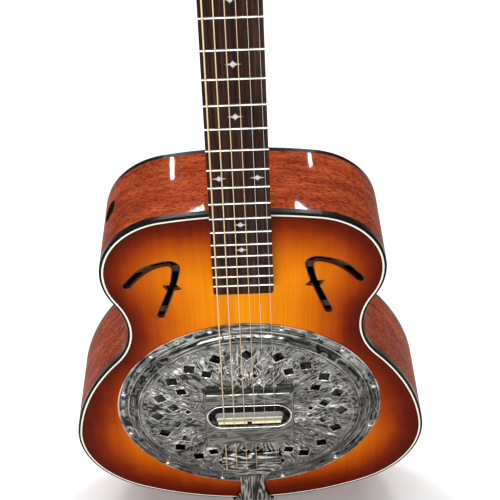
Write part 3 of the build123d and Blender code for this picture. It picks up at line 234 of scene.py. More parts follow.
def bare_wood(name, light, dark, along=(220, 220, 14)):
    """Unfinished wood for the hidden and the small wooden pieces."""
    material, shader = new_material(name)
    tree = material.node_tree
    grain = noise(tree, 1.0, along, detail=4.0)
    link(tree, ramp(tree, grain, (0.35, dark), (0.65, light)), shader.inputs["Base Color"])
    shader.inputs["Roughness"].default_value = 0.55
    shader.inputs["Specular IOR Level"].default_value = 0.10
    bump(tree, shader, grain, 0.15, 0.0002)
    return material


def rosewood():
    """Dark open-grained wood along the neck, dry to the touch."""
    material, shader = new_material("rosewood_board")
    tree = material.node_tree
    streak = noise(tree, 1.0, (260, 80, 5), detail=5.0, distortion=0.4)
    colour = ramp(tree, streak, (0.30, (0.012, 0.0065, 0.005)), (0.52, (0.034, 0.016, 0.011)),
                  (0.72, (0.085, 0.040, 0.026)))
    pores = noise(tree, 1.0, (1500, 500, 45), detail=2.0, roughness=0.7)
    flecks = grey(tree, pores, (0.36, 0.25), (0.46, 1.0))
    link(tree, mix(tree, 0.8, colour, flecks, "MULTIPLY"), shader.inputs["Base Color"])
    link(tree, grey(tree, streak, (0.3, 0.60), (0.7, 0.45)), shader.inputs["Roughness"])
    shader.inputs["Specular IOR Level"].default_value = 0.03
    bump(tree, shader, pores, 0.25, 0.0002)
    return material


def gloss_plastic(name, colour, roughness, shade=0.8, specular=0.5):
    """Polished plastic with a faint unevenness in tone and gloss."""
    material, shader = new_material(name)
    shader.inputs["Specular IOR Level"].default_value = specular
    tree = material.node_tree
    cloud = noise(tree, 60.0, detail=3.0)
    darker = tuple(value * shade for value in colour)
    link(tree, ramp(tree, cloud, (0.3, darker), (0.7, colour)), shader.inputs["Base Color"])
    link(tree, grey(tree, cloud, (0.3, roughness), (0.7, roughness * 1.8)), shader.inputs["Roughness"])
    return material


def bone():
    """Creamy bone with faint pores."""
    material, shader = new_material("bone_nut")
    tree = material.node_tree
    cloud = noise(tree, 1.0, (300, 900, 900), detail=5.0)
    link(tree, ramp(tree, cloud, (0.3, (0.66, 0.58, 0.42)), (0.6, (0.82, 0.77, 0.63))),
         shader.inputs["Base Color"])
    shader.inputs["Roughness"].default_value = 0.3
    shader.inputs["Subsurface Weight"].default_value = 0.08
    bump(tree, shader, cloud, 0.06, 0.0002)
    return material


def pearl():
    """Mother of pearl: pale cells that lean green, pink and blue."""
    material, shader = new_material("pearl_inlay")
    tree = material.node_tree
    cells = noise(tree, 420.0, detail=3.0, distortion=2.5)
    colour = ramp(tree, cells, (0.30, (0.34, 0.39, 0.38)), (0.45, (0.62, 0.64, 0.63)),
                  (0.58, (0.50, 0.47, 0.48)), (0.72, (0.46, 0.52, 0.58)))
    link(tree, colour, shader.inputs["Base Color"])
    shader.inputs["Roughness"].default_value = 0.16
    shader.inputs["Coat Weight"].default_value = 0.6
    return material


def metal(name, colour, roughness, scale=55.0, dents=0.0):
    """Plated or plain metal with handling marks in its gloss."""
    material, shader = new_material(name)
    tree = material.node_tree
    smudge = noise(tree, scale, detail=5.0, roughness=0.65)
    dull = tuple(value * 0.84 for value in colour)
    link(tree, ramp(tree, smudge, (0.3, dull), (0.7, colour)), shader.inputs["Base Color"])
    link(tree, grey(tree, smudge, (0.35, roughness * 0.5), (0.7, roughness * 1.5)),
         shader.inputs["Roughness"])
    shader.inputs["Metallic"].default_value = 1.0
    if dents:
        bump(tree, shader, noise(tree, scale * 1.5, detail=2.0), dents, 0.0005)
    return material


def cast_alloy_painted_shade():
    """Sand-cast aluminium, bright on the raised seat, with painted shade that darkens it further into the
    body.
    """
    material, shader = new_material("cast_aluminium")
    tree = material.node_tree
    depth = node(tree, "ShaderNodeSeparateXYZ", Vector=object_place(tree)).outputs[1]
    shade_depth = math_node(tree, "ADD", math_node(tree, "MULTIPLY", depth, 160.0), 1.6)
    sand = noise(tree, 600.0, detail=3.0)
    level = math_node(tree, "ADD", shade_depth, math_node(tree, "MULTIPLY", sand, 0.1))
    # Painted shade: the colour darkens with depth below the seat, where the hand rest shades the spider.
    link(tree, ramp(tree, level, (0.42, (0.96, 0.96, 0.95)), (0.62, (0.05, 0.045, 0.04))),
         shader.inputs["Base Color"])
    shader.inputs["Metallic"].default_value = 0.15
    shader.inputs["Roughness"].default_value = 0.5
    bump(tree, shader, sand, 0.2, 0.0003)
    return material


def contour_lines(tree, field, turns):
    """Waves from 0 to 1 that follow a field's contours, turns of them from its 0 to its 1."""
    wave = math_node(tree, "SINE", math_node(tree, "MULTIPLY", field, turns * 2 * math.pi))
    return math_node(tree, "ADD", math_node(tree, "MULTIPLY", wave, 0.5), 0.5)


def polar_place(tree):
    """The turn round the middle of the cover plate, in radians, and the distance from it."""
    split = node(tree, "ShaderNodeSeparateXYZ", Vector=object_place(tree))
    x = split.outputs[0]
    z = math_node(tree, "SUBTRACT", split.outputs[2], PLATE_CENTRE_Z * MM)
    x_squared = math_node(tree, "MULTIPLY", x, x)
    z_squared = math_node(tree, "MULTIPLY", z, z)
    radius = math_node(tree, "SQRT", math_node(tree, "ADD", x_squared, z_squared))
    return math_node(tree, "ARCTAN2", x, z), radius


def round_field(tree, turn, radius, across_scale, outward_scale):
    """Noise in polar coordinates round the plate's middle, with swirls laid over it."""
    swirl = noise(tree, 34.0, detail=2.0, distortion=0.8)
    push = math_node(tree, "MULTIPLY", math_node(tree, "SUBTRACT", swirl, 0.5), 1.5)
    across = math_node(tree, "MULTIPLY", turn, across_scale)
    outward = math_node(tree, "MULTIPLY", radius, outward_scale)
    spot = node(tree, "ShaderNodeCombineXYZ", X=math_node(tree, "ADD", across, push),
                Y=math_node(tree, "ADD", outward, push)).outputs[0]
    return node(tree, "ShaderNodeTexNoise", Vector=spot, Scale=1.0, Detail=2.5,
                Roughness=0.5).outputs["Fac"]


def pressed_chrome_painted_reflections():
    """Chrome over the pressed cover plate with painted reflections in its colour: thin lines, radial
    inside and round the rim outside, with painted highlights on its bent edges and hole rims.
    """
    material, shader = new_material("pressed_chrome_painted_reflections")
    tree = material.node_tree
    turn, radius = polar_place(tree)
    share = math_node(tree, "MULTIPLY", radius, 1.0 / (PLATE_RADIUS * MM))
    fan_reflection_lines = contour_lines(tree, round_field(tree, turn, radius, 6.0, 9.0), 12.0)
    rim_reflection_lines = contour_lines(tree, round_field(tree, turn, radius, 0.8, 75.0), 7.0)
    lines = mix(tree, grey(tree, share, (0.72, 0.0), (0.86, 1.0)), fan_reflection_lines, rim_reflection_lines)
    broad = noise(tree, 30.0, detail=2.0, distortion=1.2)
    level = mix(tree, 0.66, grey(tree, broad, (0.35, 0.10), (0.65, 0.75)), lines)
    # Painted reflections: the colour runs from near black to near white along the lines and broad
    # patches.
    dark = (0.030, 0.031, 0.028)
    half_way = (0.27, 0.27, 0.25)
    bright = (1.0, 0.99, 0.92)
    colour = ramp(tree, level, (0.20, dark), (0.40, half_way), (0.70, half_way), (0.90, bright))
    # Painted shade on the step down to the flange and painted reflection bands on the flange, with
    # painted highlights along the bent edges.
    shade = grey(tree, share, (0.826, 1.0), (0.834, 0.20), (0.846, 0.20), (0.856, 0.34),
                 (0.905, 0.30), (0.926, 0.16), (0.934, 0.70), (0.980, 0.60), (0.986, 0.22))
    painted_edge_highlights = grey(tree, share, (0.838, 0.0), (0.843, 0.9), (0.849, 0.0), (0.912, 0.0), (0.918, 0.95),
                 (0.924, 0.0), (0.987, 0.0), (0.992, 0.9), (1.0, 0.9))
    colour = mix(tree, 1.0, colour, shade, "MULTIPLY")
    # Painted glints along the diamond holes' rims and the bent edges, broken up by the broad noise.
    rim = node(tree, "ShaderNodeAttribute", {"attribute_name": "hole_rim_glint"}).outputs["Fac"]
    edges = math_node(tree, "MAXIMUM", painted_edge_highlights, rim)
    painted_glints = math_node(tree, "MULTIPLY", edges, grey(tree, broad, (0.38, 0.15), (0.60, 1.0)))
    colour = mix(tree, painted_glints, colour, (0.80, 0.80, 0.77))
    link(tree, colour, shader.inputs["Base Color"])
    link(tree, grey(tree, broad, (0.3, 0.12), (0.7, 0.05)), shader.inputs["Roughness"])
    shader.inputs["Metallic"].default_value = 1.0
    swell = noise(tree, 38.0, detail=2.0, distortion=1.0)
    bump(tree, shader, swell, 0.16, 0.0012)
    return material


def chrome_with_painted_reflections(tree, shader, lines, height):
    """Chrome whose colour paints reflections, dark to bright along its lines, swelled a little by a
    height.
    """
    colour = ramp(tree, lines, (0.15, (0.035, 0.035, 0.031)), (0.50, (0.17, 0.17, 0.15)),
                  (0.75, (0.27, 0.27, 0.24)), (0.95, (0.80, 0.79, 0.73)))
    link(tree, colour, shader.inputs["Base Color"])
    shader.inputs["Metallic"].default_value = 1.0
    shader.inputs["Roughness"].default_value = 0.12
    bump(tree, shader, height, 0.10, 0.0012)


def rest_chrome_painted_reflections():
    """Chrome on the hand rest with painted reflections: faint wavy lines that run across it."""
    material, shader = new_material("rest_chrome_painted_reflections")
    tree = material.node_tree
    field = noise(tree, 1.0, (15, 70, 70), detail=2.0, distortion=0.9)
    faint = math_node(tree, "MULTIPLY", contour_lines(tree, field, 9.0), 0.48)
    chrome_with_painted_reflections(tree, shader, math_node(tree, "ADD", faint, 0.26), field)
    return material


def tail_chrome_painted_reflections():
    """Chrome on the tailpiece with painted reflections: level lines on its bar and lines along its
    tongue.
    """
    material, shader = new_material("tailpiece_chrome_painted_reflections")
    tree = material.node_tree
    up = node(tree, "ShaderNodeSeparateXYZ", Vector=object_place(tree)).outputs[2]
    below_bar = math_node(tree, "MULTIPLY", math_node(tree, "ADD", up, -BAR_REAR_Z * MM), -60.0)
    on_tongue = grey(tree, below_bar, (0.0, 0.0), (0.5, 1.0))
    level_field = noise(tree, 1.0, (22, 22, 95), detail=1.5, distortion=0.5)
    long_field = noise(tree, 1.0, (150, 22, 14), detail=1.0, distortion=0.5)
    lines = mix(tree, on_tongue, contour_lines(tree, level_field, 6.0),
                contour_lines(tree, long_field, 6.0))
    chrome_with_painted_reflections(tree, shader, lines, level_field)
    return material


def wound_string():
    """Bronze wire wrapped round a core: fine rings across the string."""
    material, shader = new_material("wound_bronze")
    tree = material.node_tree
    rings = node(tree, "ShaderNodeTexWave", {"bands_direction": "Z"}, Vector=object_place(tree),
                 Scale=520.0)
    colour = ramp(tree, rings.outputs["Fac"], (0.0, (0.55, 0.37, 0.18)), (0.6, (0.95, 0.76, 0.50)))
    link(tree, colour, shader.inputs["Base Color"])
    shader.inputs["Metallic"].default_value = 0.85
    shader.inputs["Roughness"].default_value = 0.36
    bump(tree, shader, rings.outputs["Fac"], 0.35, 0.0001)
    return material


TOP = sunburst_top()
SIDES = mahogany("mahogany_sides", (230, 1000, 230), (0.22, 0.030, 0.012), (0.34, 0.054, 0.018),
                 (0.48, 0.095, 0.028), 0.9)
BACK = mahogany("mahogany_back", (900, 300, 26), (0.12, 0.018, 0.010), (0.22, 0.036, 0.016),
                (0.32, 0.060, 0.024))
NECK = mahogany("mahogany_neck", (800, 800, 24), (0.10, 0.016, 0.009), (0.19, 0.032, 0.015),
                (0.28, 0.052, 0.022), 0.6)
BLACK = gloss_plastic("black_binding", (0.008, 0.007, 0.007), 0.18, specular=0.05)
CAP_BLACK = gloss_plastic("black_cap", (0.009, 0.007, 0.006), 0.30, specular=0.04)
SIDE_CAP = gloss_plastic("side_cap_black", (0.012, 0.008, 0.006), 0.5, specular=0.0)
HOLE_EDGE = gloss_plastic("sound_hole_edge", (0.012, 0.010, 0.009), 0.22)
CREAM = gloss_plastic("cream_purfling", (0.87, 0.84, 0.73), 0.16, 0.90)
# The inner wood is far darker than its own tone: painted shade inside the body.
INNER = bare_wood("inner_wood", (0.060, 0.036, 0.019), (0.030, 0.018, 0.010))
MAPLE = bare_wood("maple_saddle", (0.97, 0.92, 0.66), (0.88, 0.81, 0.54), (14, 300, 300))
BOARD = rosewood()
PEARL = pearl()
BONE = bone()
COVER_CHROME = pressed_chrome_painted_reflections()
REST_CHROME = rest_chrome_painted_reflections()
TAIL_CHROME = tail_chrome_painted_reflections()
CHROME = metal("chrome_plate", (0.74, 0.74, 0.75), 0.10)
BEAD_CHROME = metal("bead_chrome", (0.95, 0.95, 0.94), 0.22, 90.0)
STEEL = metal("screw_steel", (0.90, 0.89, 0.86), 0.30, 140.0)
FRET_STEEL = metal("fret_wire", (0.86, 0.84, 0.80), 0.18, 200.0)
CONE_ALLOY = metal("spun_aluminium", (0.62, 0.62, 0.63), 0.30, 80.0, dents=0.1)
CAST_ALLOY = cast_alloy_painted_shade()
BRASS = metal("brass_nut", (0.72, 0.53, 0.24), 0.24)
WOUND = wound_string()
PLAIN = metal("plain_string", (0.80, 0.79, 0.76), 0.20, 300.0)

LOOKS = {
    "soundboard": TOP, "side_bass": SIDES, "side_treble": SIDES, "back": BACK, "neck": NECK,
    "binding_top": BLACK, "binding_back": BLACK, "purfling_top": CREAM, "side_cap": SIDE_CAP,
    "neck_block": INNER, "tail_block": INNER, "lining_top": INNER, "lining_back": INNER,
    "braces_top": INNER, "braces_back": INNER, "soundwell": INNER, "extension_shim": NECK,
    "cone": CONE_ALLOY, "spider": CAST_ALLOY, "saddle_bass": MAPLE, "saddle_treble": MAPLE,
    "coverplate": COVER_CHROME, "hand_rest": REST_CHROME, "tailpiece": TAIL_CHROME,
    "coverplate_screws": STEEL, "tailpiece_screws": STEEL, "tension_screw": STEEL, "cone_nut": STEEL,
    "headstock_screws": STEEL, "neck_bolts": STEEL, "truss_rod": STEEL, "truss_rod_nut": BRASS,
    "strap_button": CHROME, "truss_rod_cover": CAP_BLACK, "headstock_veneer": CAP_BLACK,
    "fretboard": BOARD, "fret_inlays": PEARL, "frets": FRET_STEEL, "nut": BONE,
    "tuner_housings": CHROME, "tuner_bushings": CHROME,
}
for number in range(1, 7):
    LOOKS[f"tuner_post_{number}"] = CHROME
    LOOKS[f"tuner_key_{number}"] = CHROME
    LOOKS[f"string_{number}"] = WOUND if number <= 4 else PLAIN

for name, cad_node in NODES.items():
    if not cad_node.material_slots:
        cad_node.data.materials.append(None)
    for material_slot in cad_node.material_slots:
        material_slot.material = LOOKS[name]


# ---- flat plates with holes -------------------------------------------------------------------
def body_outline(inset, step):
    """Points round the body's edge, moved inwards by inset, about step apart, as (x, z)."""
    points = [(0.0, BODY_TOP - inset)]
    heading = 0.0
    x, z = points[0]
    arcs = [(radius - inset if turn > 0 else radius + inset, turn) for radius, turn in BODY_ARCS]
    rest = 180.0 - sum(turn for radius, turn in BODY_ARCS)
    for radius, turn in arcs + [(None, rest)]:
        if radius is None:
            radius = x / math.sin(math.radians(rest))
        way = 1 if turn > 0 else -1
        centre_x = x + way * radius * math.sin(heading)
        centre_z = z - way * radius * math.cos(heading)
        steps = max(3, int(radius * math.radians(abs(turn)) / step))
        for number in range(1, steps + 1):
            angle = heading - math.radians(turn) * number / steps
            points.append((centre_x - way * radius * math.sin(angle),
                           centre_z + way * radius * math.cos(angle)))
        heading -= math.radians(turn)
        x, z = points[-1]
    points[-1] = (0.0, points[-1][1])
    return points + [(-x, z) for x, z in points[-2:0:-1]]


NICK_Z = -454.5
NICK_HALF_WIDTH = 1.7


def spline_points(corners, count):
    """A smooth open curve through the corners, as count points between each pair."""
    points = []
    padded = [corners[0]] + list(corners) + [corners[-1]]
    for a, b, c, d in zip(padded, padded[1:], padded[2:], padded[3:]):
        for number in range(count):
            t = number / count
            points.append(tuple(
                0.5 * (2 * q + (r - p) * t + (2 * p - 5 * q + 4 * r - s) * t * t
                       + (3 * q - p - 3 * r + s) * t ** 3)
                for p, q, r, s in zip(a, b, c, d)))
    return points + [corners[-1]]


def with_nick(points, tip):
    """The edge with a small pointed nick cut into it, which ends at tip."""
    replaced = [abs(z - NICK_Z) < NICK_HALF_WIDTH for x, z in points]
    kept = [point for point, gone in zip(points, replaced) if not gone]
    first = replaced.index(True)
    return kept[:first] + [tip] + kept[first:]


def sound_hole(side):
    """The hook-shaped sound hole's edge, as the CAD model has it."""
    outer = spline_points(((113, -449), (97, -430.5), (82, -422.3), (66, -419.4), (58.2, -426),
                           (59.4, -437), (64, -454), (78, -495)), 8)
    foot = [(80.0, -496.3), (82.6, -496.4), (84.6, -494.8)]
    inner = spline_points(((85, -492.5), (70.5, -454.5), (66.2, -437), (65.6, -429), (69.5, -425.6),
                           (82.5, -429.5), (95, -439), (107.5, -453.5)), 8)
    tip = [(110.2, -454.6), (112.7, -453.6), (113.6, -451.2)]
    outer = with_nick(outer, (58.6, -457.1))
    inner = with_nick(inner, (75.8, -451.9))
    return [(side * x, z) for x, z in outer + foot + inner + tip]


def circle(centre_x, centre_z, radius, count):
    """Points round a circle."""
    angles = [2 * math.pi * number / count for number in range(count)]
    return [(centre_x + radius * math.cos(a), centre_z + radius * math.sin(a)) for a in angles]


def inside(points, loop):
    """Which of the points lie inside the closed loop."""
    loop = np.array(loop)
    ahead = np.roll(loop, -1, axis=0)
    result = np.zeros(len(points), bool)
    for (x1, z1), (x2, z2) in zip(loop, ahead):
        if z1 == z2:
            continue
        crosses = (z1 > points[:, 1]) != (z2 > points[:, 1])
        reach = (x2 - x1) * (points[:, 1] - z1) / (z2 - z1) + x1
        result ^= crosses & (points[:, 0] < reach)
    return result


def within(points, rim, holes):
    """Which of the points lie inside the rim and in none of the holes."""
    result = inside(points, rim)
    for loop in holes:
        result &= ~inside(points, loop)
    return result


def triangulated(rim, holes, filling):
    """Points and triangles of the area between the rim and the holes, all turned the same way."""
    corners = []
    edges = []
    for loop in [rim] + holes:
        start = len(corners)
        edges += [(start + number, start + (number + 1) % len(loop)) for number in range(len(loop))]
        corners += [Vector(point) for point in loop]
    filling = np.array(filling)
    corners += [Vector(point) for point in filling[within(filling, rim, holes)]]
    points, _, faces, _, _, _ = delaunay_2d_cdt(corners, edges, [], 0, 1e-5)
    flat = np.array([tuple(point) for point in points])
    faces = np.array([tuple(face) for face in faces])
    faces = faces[within(flat[faces].mean(axis=1), rim, holes)]
    a, b, c = (flat[faces[:, number]] for number in range(3))
    area = (b[:, 0] - a[:, 0]) * (c[:, 1] - a[:, 1]) - (b[:, 1] - a[:, 1]) * (c[:, 0] - a[:, 0])
    faces[area < 0] = faces[area < 0][:, ::-1]
    return flat, faces


def plate(name, rim, holes, filling, height, thickness, sharp=40.0):
    """A sheet with holes: its front face lies at height(points) in front of the soundboard."""
    flat, faces = triangulated(rim, holes, filling)
    front_y = -height(flat)
    count = len(flat)
    front = np.column_stack((flat[:, 0], front_y, flat[:, 1])) * MM
    back = np.column_stack((flat[:, 0], front_y + thickness, flat[:, 1])) * MM
    directed = {(int(f[i]), int(f[(i + 1) % 3])) for f in faces for i in range(3)}
    walls = [(i, j, j + count, i + count)[::-1] for i, j in directed if (j, i) not in directed]
    all_faces = [tuple(map(int, f)) for f in faces]
    all_faces += [tuple(int(i) + count for i in f[::-1]) for f in faces] + walls
    mesh = bpy.data.meshes.new(name)
    mesh.from_pydata(np.vstack((front, back)).tolist(), [], all_faces)
    mesh.validate()
    for polygon in mesh.polygons:
        polygon.use_smooth = True
    mesh.set_sharp_from_angle(angle=math.radians(sharp))
    piece = bpy.data.objects.new(name, mesh)
    bpy.context.scene.collection.objects.link(piece)
    return piece


def flat_places(piece):
    """Where each vertex of a plate lies, as (x, z) in millimetres."""
    return np.array([(vertex.co.x / MM, vertex.co.z / MM) for vertex in piece.data.vertices])


def set_attribute(piece, name, values):
    """Stores a number at each vertex for the material to read."""
    attribute = piece.data.attributes.new(name, "FLOAT", "POINT")
    attribute.data.foreach_set("value", values.astype(np.float32))


def grid(low_x, high_x, low_z, high_z, step):
    """Points in staggered rows over a rectangle."""
    points = []
    row = 0
    z = low_z
    while z <= high_z:
        shift = step / 2 if row % 2 else 0.0
        points += [(x + shift, z) for x in np.arange(low_x, high_x, step)]
        z += step * 0.87
        row += 1
    return points


def closed_bead(name, places, radius, material):
    """A thin round bead along a closed line of places."""
    curve = bpy.data.curves.new(name, "CURVE")
    curve.dimensions = "3D"
    curve.bevel_depth = radius * MM
    curve.bevel_resolution = 4
    curve.materials.append(material)
    line = curve.splines.new("POLY")
    line.points.add(len(places) - 1)
    for point, place in zip(line.points, places):
        point.co = (*(value * MM for value in place), 1.0)
    line.use_cyclic_u = True
    bead = bpy.data.objects.new(name, curve)
    bpy.context.scene.collection.objects.link(bead)
    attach(bead, "guitar")


# ---- the soundboard ---------------------------------------------------------------------------
TOP_INSET = SIDE_THICKNESS + PURFLING_WIDTH
TOP_GAP = 0.02
BURST_REACH = 115.0
WAIST_Z = -520.0
LOWER_BOUT_FADE = 120.0     # below the waist, the burst's dark edge grows over this length
LOWER_BOUT_LOSS = 0.22
EDGE_ROUNDING = 0.35
EDGE_BAND = 0.5
HOLE_EDGE_DEPTH = 0.15
HOLE_EDGE_RADIUS = 0.45
INNER_LINE_RADIUS = 0.35


def nearest(points, loop_points):
    """Distance from each point to the closest of loop_points."""
    tree = kdtree.KDTree(len(loop_points))
    for number, (x, z) in enumerate(loop_points):
        tree.insert((x, z, 0.0), number)
    tree.balance()
    return np.array([tree.find((x, z, 0.0))[2] for x, z in points])


top_rim = body_outline(TOP_INSET + TOP_GAP, 3.0)
hole_loops = [sound_hole(-1), sound_hole(1)]
top_holes = hole_loops + [circle(0, PLATE_CENTRE_Z, RECESS_RADIUS, 160)]
hole_points = np.array([point for loop in hole_loops for point in loop])


def top_height(points):
    """Flat, but eased down at the very edge of the sound holes."""
    edge = nearest(points, hole_points) < 0.05
    return np.where(edge, -EDGE_ROUNDING, 0.0)


def widened(loop, amount):
    """The loop moved outwards by amount."""
    loop = np.array(loop)
    along = np.roll(loop, -1, axis=0) - np.roll(loop, 1, axis=0)
    normal = np.column_stack((along[:, 1], -along[:, 0]))
    normal /= np.linalg.norm(normal, axis=1)[:, None]
    area = np.sum(loop[:, 0] * np.roll(loop[:, 1], -1) - np.roll(loop[:, 0], -1) * loop[:, 1])
    return (loop + normal * amount * (1 if area > 0 else -1)).tolist()


top_filling = grid(-190, 190, -830, -364, 7.0)
for loop in hole_loops:
    top_filling += widened(loop, EDGE_BAND)
top_plate = plate("sunburst_soundboard", top_rim, top_holes, top_filling, top_height, TOP_THICKNESS)
edge_line = body_outline(0.0, 1.0)
top_places = flat_places(top_plate)
inward = nearest(top_places, edge_line) / BURST_REACH
lower_bout = np.clip((WAIST_Z - top_places[:, 1]) / LOWER_BOUT_FADE, 0.0, 1.0)
inward *= 1.0 - LOWER_BOUT_LOSS * lower_bout
set_attribute(top_plate, "edge_distance", np.clip(inward, 0.0, 1.0))
top_plate.data.materials.append(TOP)
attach(top_plate, "guitar")
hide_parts("soundboard")
inner_line = [(x, HOLE_EDGE_DEPTH, z) for x, z in body_outline(TOP_INSET + INNER_LINE_RADIUS, 3.0)]
closed_bead("inner_black_line", inner_line, INNER_LINE_RADIUS, BLACK)
for name, loop in zip(("bass_hole_edge", "treble_hole_edge"), hole_loops):
    lip = [(x, HOLE_EDGE_DEPTH, z) for x, z in loop]
    closed_bead(name, lip, HOLE_EDGE_RADIUS, HOLE_EDGE)


# ---- the cover plate --------------------------------------------------------------------------
def diamond_places():
    """Centre, turn and half size of each diamond hole that the hand rest leaves open."""
    places = []
    for fan in range(4):
        for radius, size, angles in DIAMOND_ROWS:
            for angle in angles:
                turn = math.radians(90 * fan + angle)
                across = radius * math.sin(turn)
                up = PLATE_CENTRE_Z + radius * math.cos(turn)
                beside = abs(across) > REST_HALF_WIDTH + CLEAR_BESIDE_REST
                in_front = up > REST_FRONT_Z + CLEAR_IN_FRONT
                behind = up < REST_REAR_Z - CLEAR_BEHIND
                if beside or in_front or behind:
                    places.append((across, up, math.radians(45) - turn, size * DIAMOND_FILL / 2))
    return places


DIAMONDS = diamond_places()
RIM_HEIGHT = 0.85
RIM_WIDTH = 1.1
RIM_GLINT_WIDTH = 0.7
RIB_HEIGHT = 1.0
RIB_WIDTH = 1.4
RIB_ANGLES = (-45, -27, -14, -4.7, 4.7, 14, 27, 45)
RIBS_FROM = 54.0
RIBS_TO = 113.0
RINGS = ((72.5, 0.5), (117.5, 0.8), (139.6, -0.25))     # radius and rise of each pressed ring
RING_WIDTH = 1.1
STEP_START = 121.5
STEP_END = 130.0
SCREW_HOLE_RADIUS = 1.5


def along_edges(corners, counts):
    """Points along the straight edges that join the corners, counts of them on each edge."""
    points = []
    for (x1, z1), (x2, z2), count in zip(corners, corners[1:] + corners[:1], counts):
        for number in range(count):
            t = number / count
            points.append((x1 + (x2 - x1) * t, z1 + (z2 - z1) * t))
    return points


def square(across, up, turn, half, count):
    """Points round a turned square, count of them on each edge."""
    corners = []
    for x, z in ((-half, -half), (half, -half), (half, half), (-half, half)):
        corners.append((across + x * math.cos(turn) - z * math.sin(turn),
                        up + x * math.sin(turn) + z * math.cos(turn)))
    return along_edges(corners, (count,) * 4)


def beyond_diamonds(points):
    """How far each point lies outside the closest diamond hole."""
    closest = np.full(len(points), 1e3)
    for across, up, turn, half in DIAMONDS:
        dx = points[:, 0] - across
        dz = points[:, 1] - up
        u = np.abs(dx * math.cos(turn) + dz * math.sin(turn)) - half
        v = np.abs(-dx * math.sin(turn) + dz * math.cos(turn)) - half
        closest = np.minimum(closest, np.maximum(u, v))
    return closest


def plate_height(points):
    """The pressed shape: a domed field, the step at its edge, rims, ribs and rings."""
    x = points[:, 0]
    z = points[:, 1] - PLATE_CENTRE_Z
    radius = np.hypot(x, z)
    field = FIELD_CENTRE_HEIGHT - (FIELD_CENTRE_HEIGHT - FIELD_EDGE_HEIGHT) * (radius / FIELD_RADIUS) ** 2
    step = np.clip((radius - STEP_START) / (STEP_END - STEP_START), 0, 1)
    step = step * step * (3 - 2 * step)
    height = field * (1 - step) + SHEET * step
    rim = beyond_diamonds(points)
    height += RIM_HEIGHT * np.exp(-((rim - 0.9) / RIM_WIDTH) ** 2) * (radius < FIELD_RADIUS + 2)
    free = np.clip((rim - 2.2) / 2.0, 0, 1)
    angle = np.degrees(np.arctan2(x, z))
    in_fan = (angle + 45) % 90 - 45
    span = np.clip((radius - RIBS_FROM) / 6, 0, 1) * np.clip((RIBS_TO - radius) / 5, 0, 1)
    for rib in RIB_ANGLES:
        away = np.radians(in_fan - rib) * radius
        height += RIB_HEIGHT * np.exp(-(away / RIB_WIDTH) ** 2) * free * span
    for ring, rise in RINGS:
        height += rise * np.exp(-((radius - ring) / RING_WIDTH) ** 2) * free
    return height


def round_plate(radius, turn):
    """The place at a radius and a turn round the cover plate's middle, as (x, z)."""
    return radius * math.cos(turn), PLATE_CENTRE_Z + radius * math.sin(turn)


half_x = OPENING_SIZE[0] / 2
half_z = OPENING_SIZE[1] / 2
opening_corners = [(-half_x, OPENING_Z - half_z), (half_x, OPENING_Z - half_z),
                   (half_x, OPENING_Z + half_z), (-half_x, OPENING_Z + half_z)]
plate_holes = [along_edges(opening_corners, (20, 12, 20, 12))]
plate_filling = []
for across, up, turn, half in DIAMONDS:
    plate_holes.append(square(across, up, turn, half, 4))
    for growth in (0.45, 0.9, 1.4, 2.0, 2.8):
        plate_filling += square(across, up, turn, half + growth, 6)
for number in range(12):
    turn = math.radians(15 + 30 * number)
    plate_holes.append(circle(*round_plate(SCREW_CIRCLE, turn), SCREW_HOLE_RADIUS, 12))
ring_radius = 26.0
while ring_radius < PLATE_RADIUS - 0.4:
    around = int(math.pi * ring_radius)
    for number in range(around):
        turn = 2 * math.pi * (number + 0.5 * (int(ring_radius) % 2)) / around
        plate_filling.append(round_plate(ring_radius, turn))
    ring_radius += 1.6 if ring_radius > RIBS_TO + 1 else 1.9
cover = plate("pressed_cover_plate", circle(0, PLATE_CENTRE_Z, PLATE_RADIUS, 260), plate_holes,
              plate_filling, plate_height, SHEET, 55.0)
cover.data.materials.append(COVER_CHROME)
# Painted glints: how near each vertex lies to a diamond hole's rim, for the chrome's colour.
from_rim = beyond_diamonds(flat_places(cover))
set_attribute(cover, "hole_rim_glint", np.exp(-(from_rim / RIM_GLINT_WIDTH) ** 2))
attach(cover, "guitar")
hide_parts("coverplate")


# ---- the bright edge of the hand rest's slot --------------------------------------------------
SLOT_FRONT_Z = -623.3
SLOT_LENGTH = 86.5
SLOT_WIDTH = 31.7
REST_SLOPE = 0.12
REST_HEIGHT_AT_SLOT = 15.2
BEAD_RADIUS = 0.75
BEAD_OFFSET = 0.6       # outside the slot's edge and in front of the hand rest's face


def slot_edge():
    """Places round the slot on the hand rest's sloping face, in millimetres."""
    half = SLOT_LENGTH / 2 - SLOT_WIDTH / 2 + BEAD_OFFSET
    radius = SLOT_WIDTH / 2 + BEAD_OFFSET
    points = []
    for end, start_angle in ((1, -90), (-1, 90)):
        for number in range(25):
            angle = math.radians(start_angle + 180 * number / 24)
            x = end * half + radius * math.cos(angle)
            along = radius * math.sin(angle) - SLOT_WIDTH / 2
            depth = REST_SLOPE * along - REST_HEIGHT_AT_SLOT - BEAD_OFFSET
            points.append((x, depth, SLOT_FRONT_Z + along))
    return points


closed_bead("slot_bead", slot_edge(), BEAD_RADIUS, BEAD_CHROME)


# ---- floor, lights and camera -----------------------------------------------------------------
FLOOR_HALF_SIZE = 6.0
FLOOR_GAP = 0.0005


def floor():
    """A plain pale floor under the tail."""
    material, shader = new_material("studio_floor")
    tree = material.node_tree
    cloud = noise(tree, 1.4, detail=2.0)
    link(tree, grey(tree, cloud, (0.3, 0.92), (0.7, 0.94)), shader.inputs["Base Color"])
    shader.inputs["Roughness"].default_value = 0.8
    mesh = bpy.data.meshes.new("studio_floor")
    level = cad_bounds[0][2] - FLOOR_GAP
    ways = ((-1, -1), (1, -1), (1, 1), (-1, 1))
    corners = [(FLOOR_HALF_SIZE * x, FLOOR_HALF_SIZE * y, level) for x, y in ways]
    mesh.from_pydata(corners, [], [(0, 1, 2, 3)])
    mesh.materials.append(material)
    piece = bpy.data.objects.new("studio_floor", mesh)
    bpy.context.scene.collection.objects.link(piece)


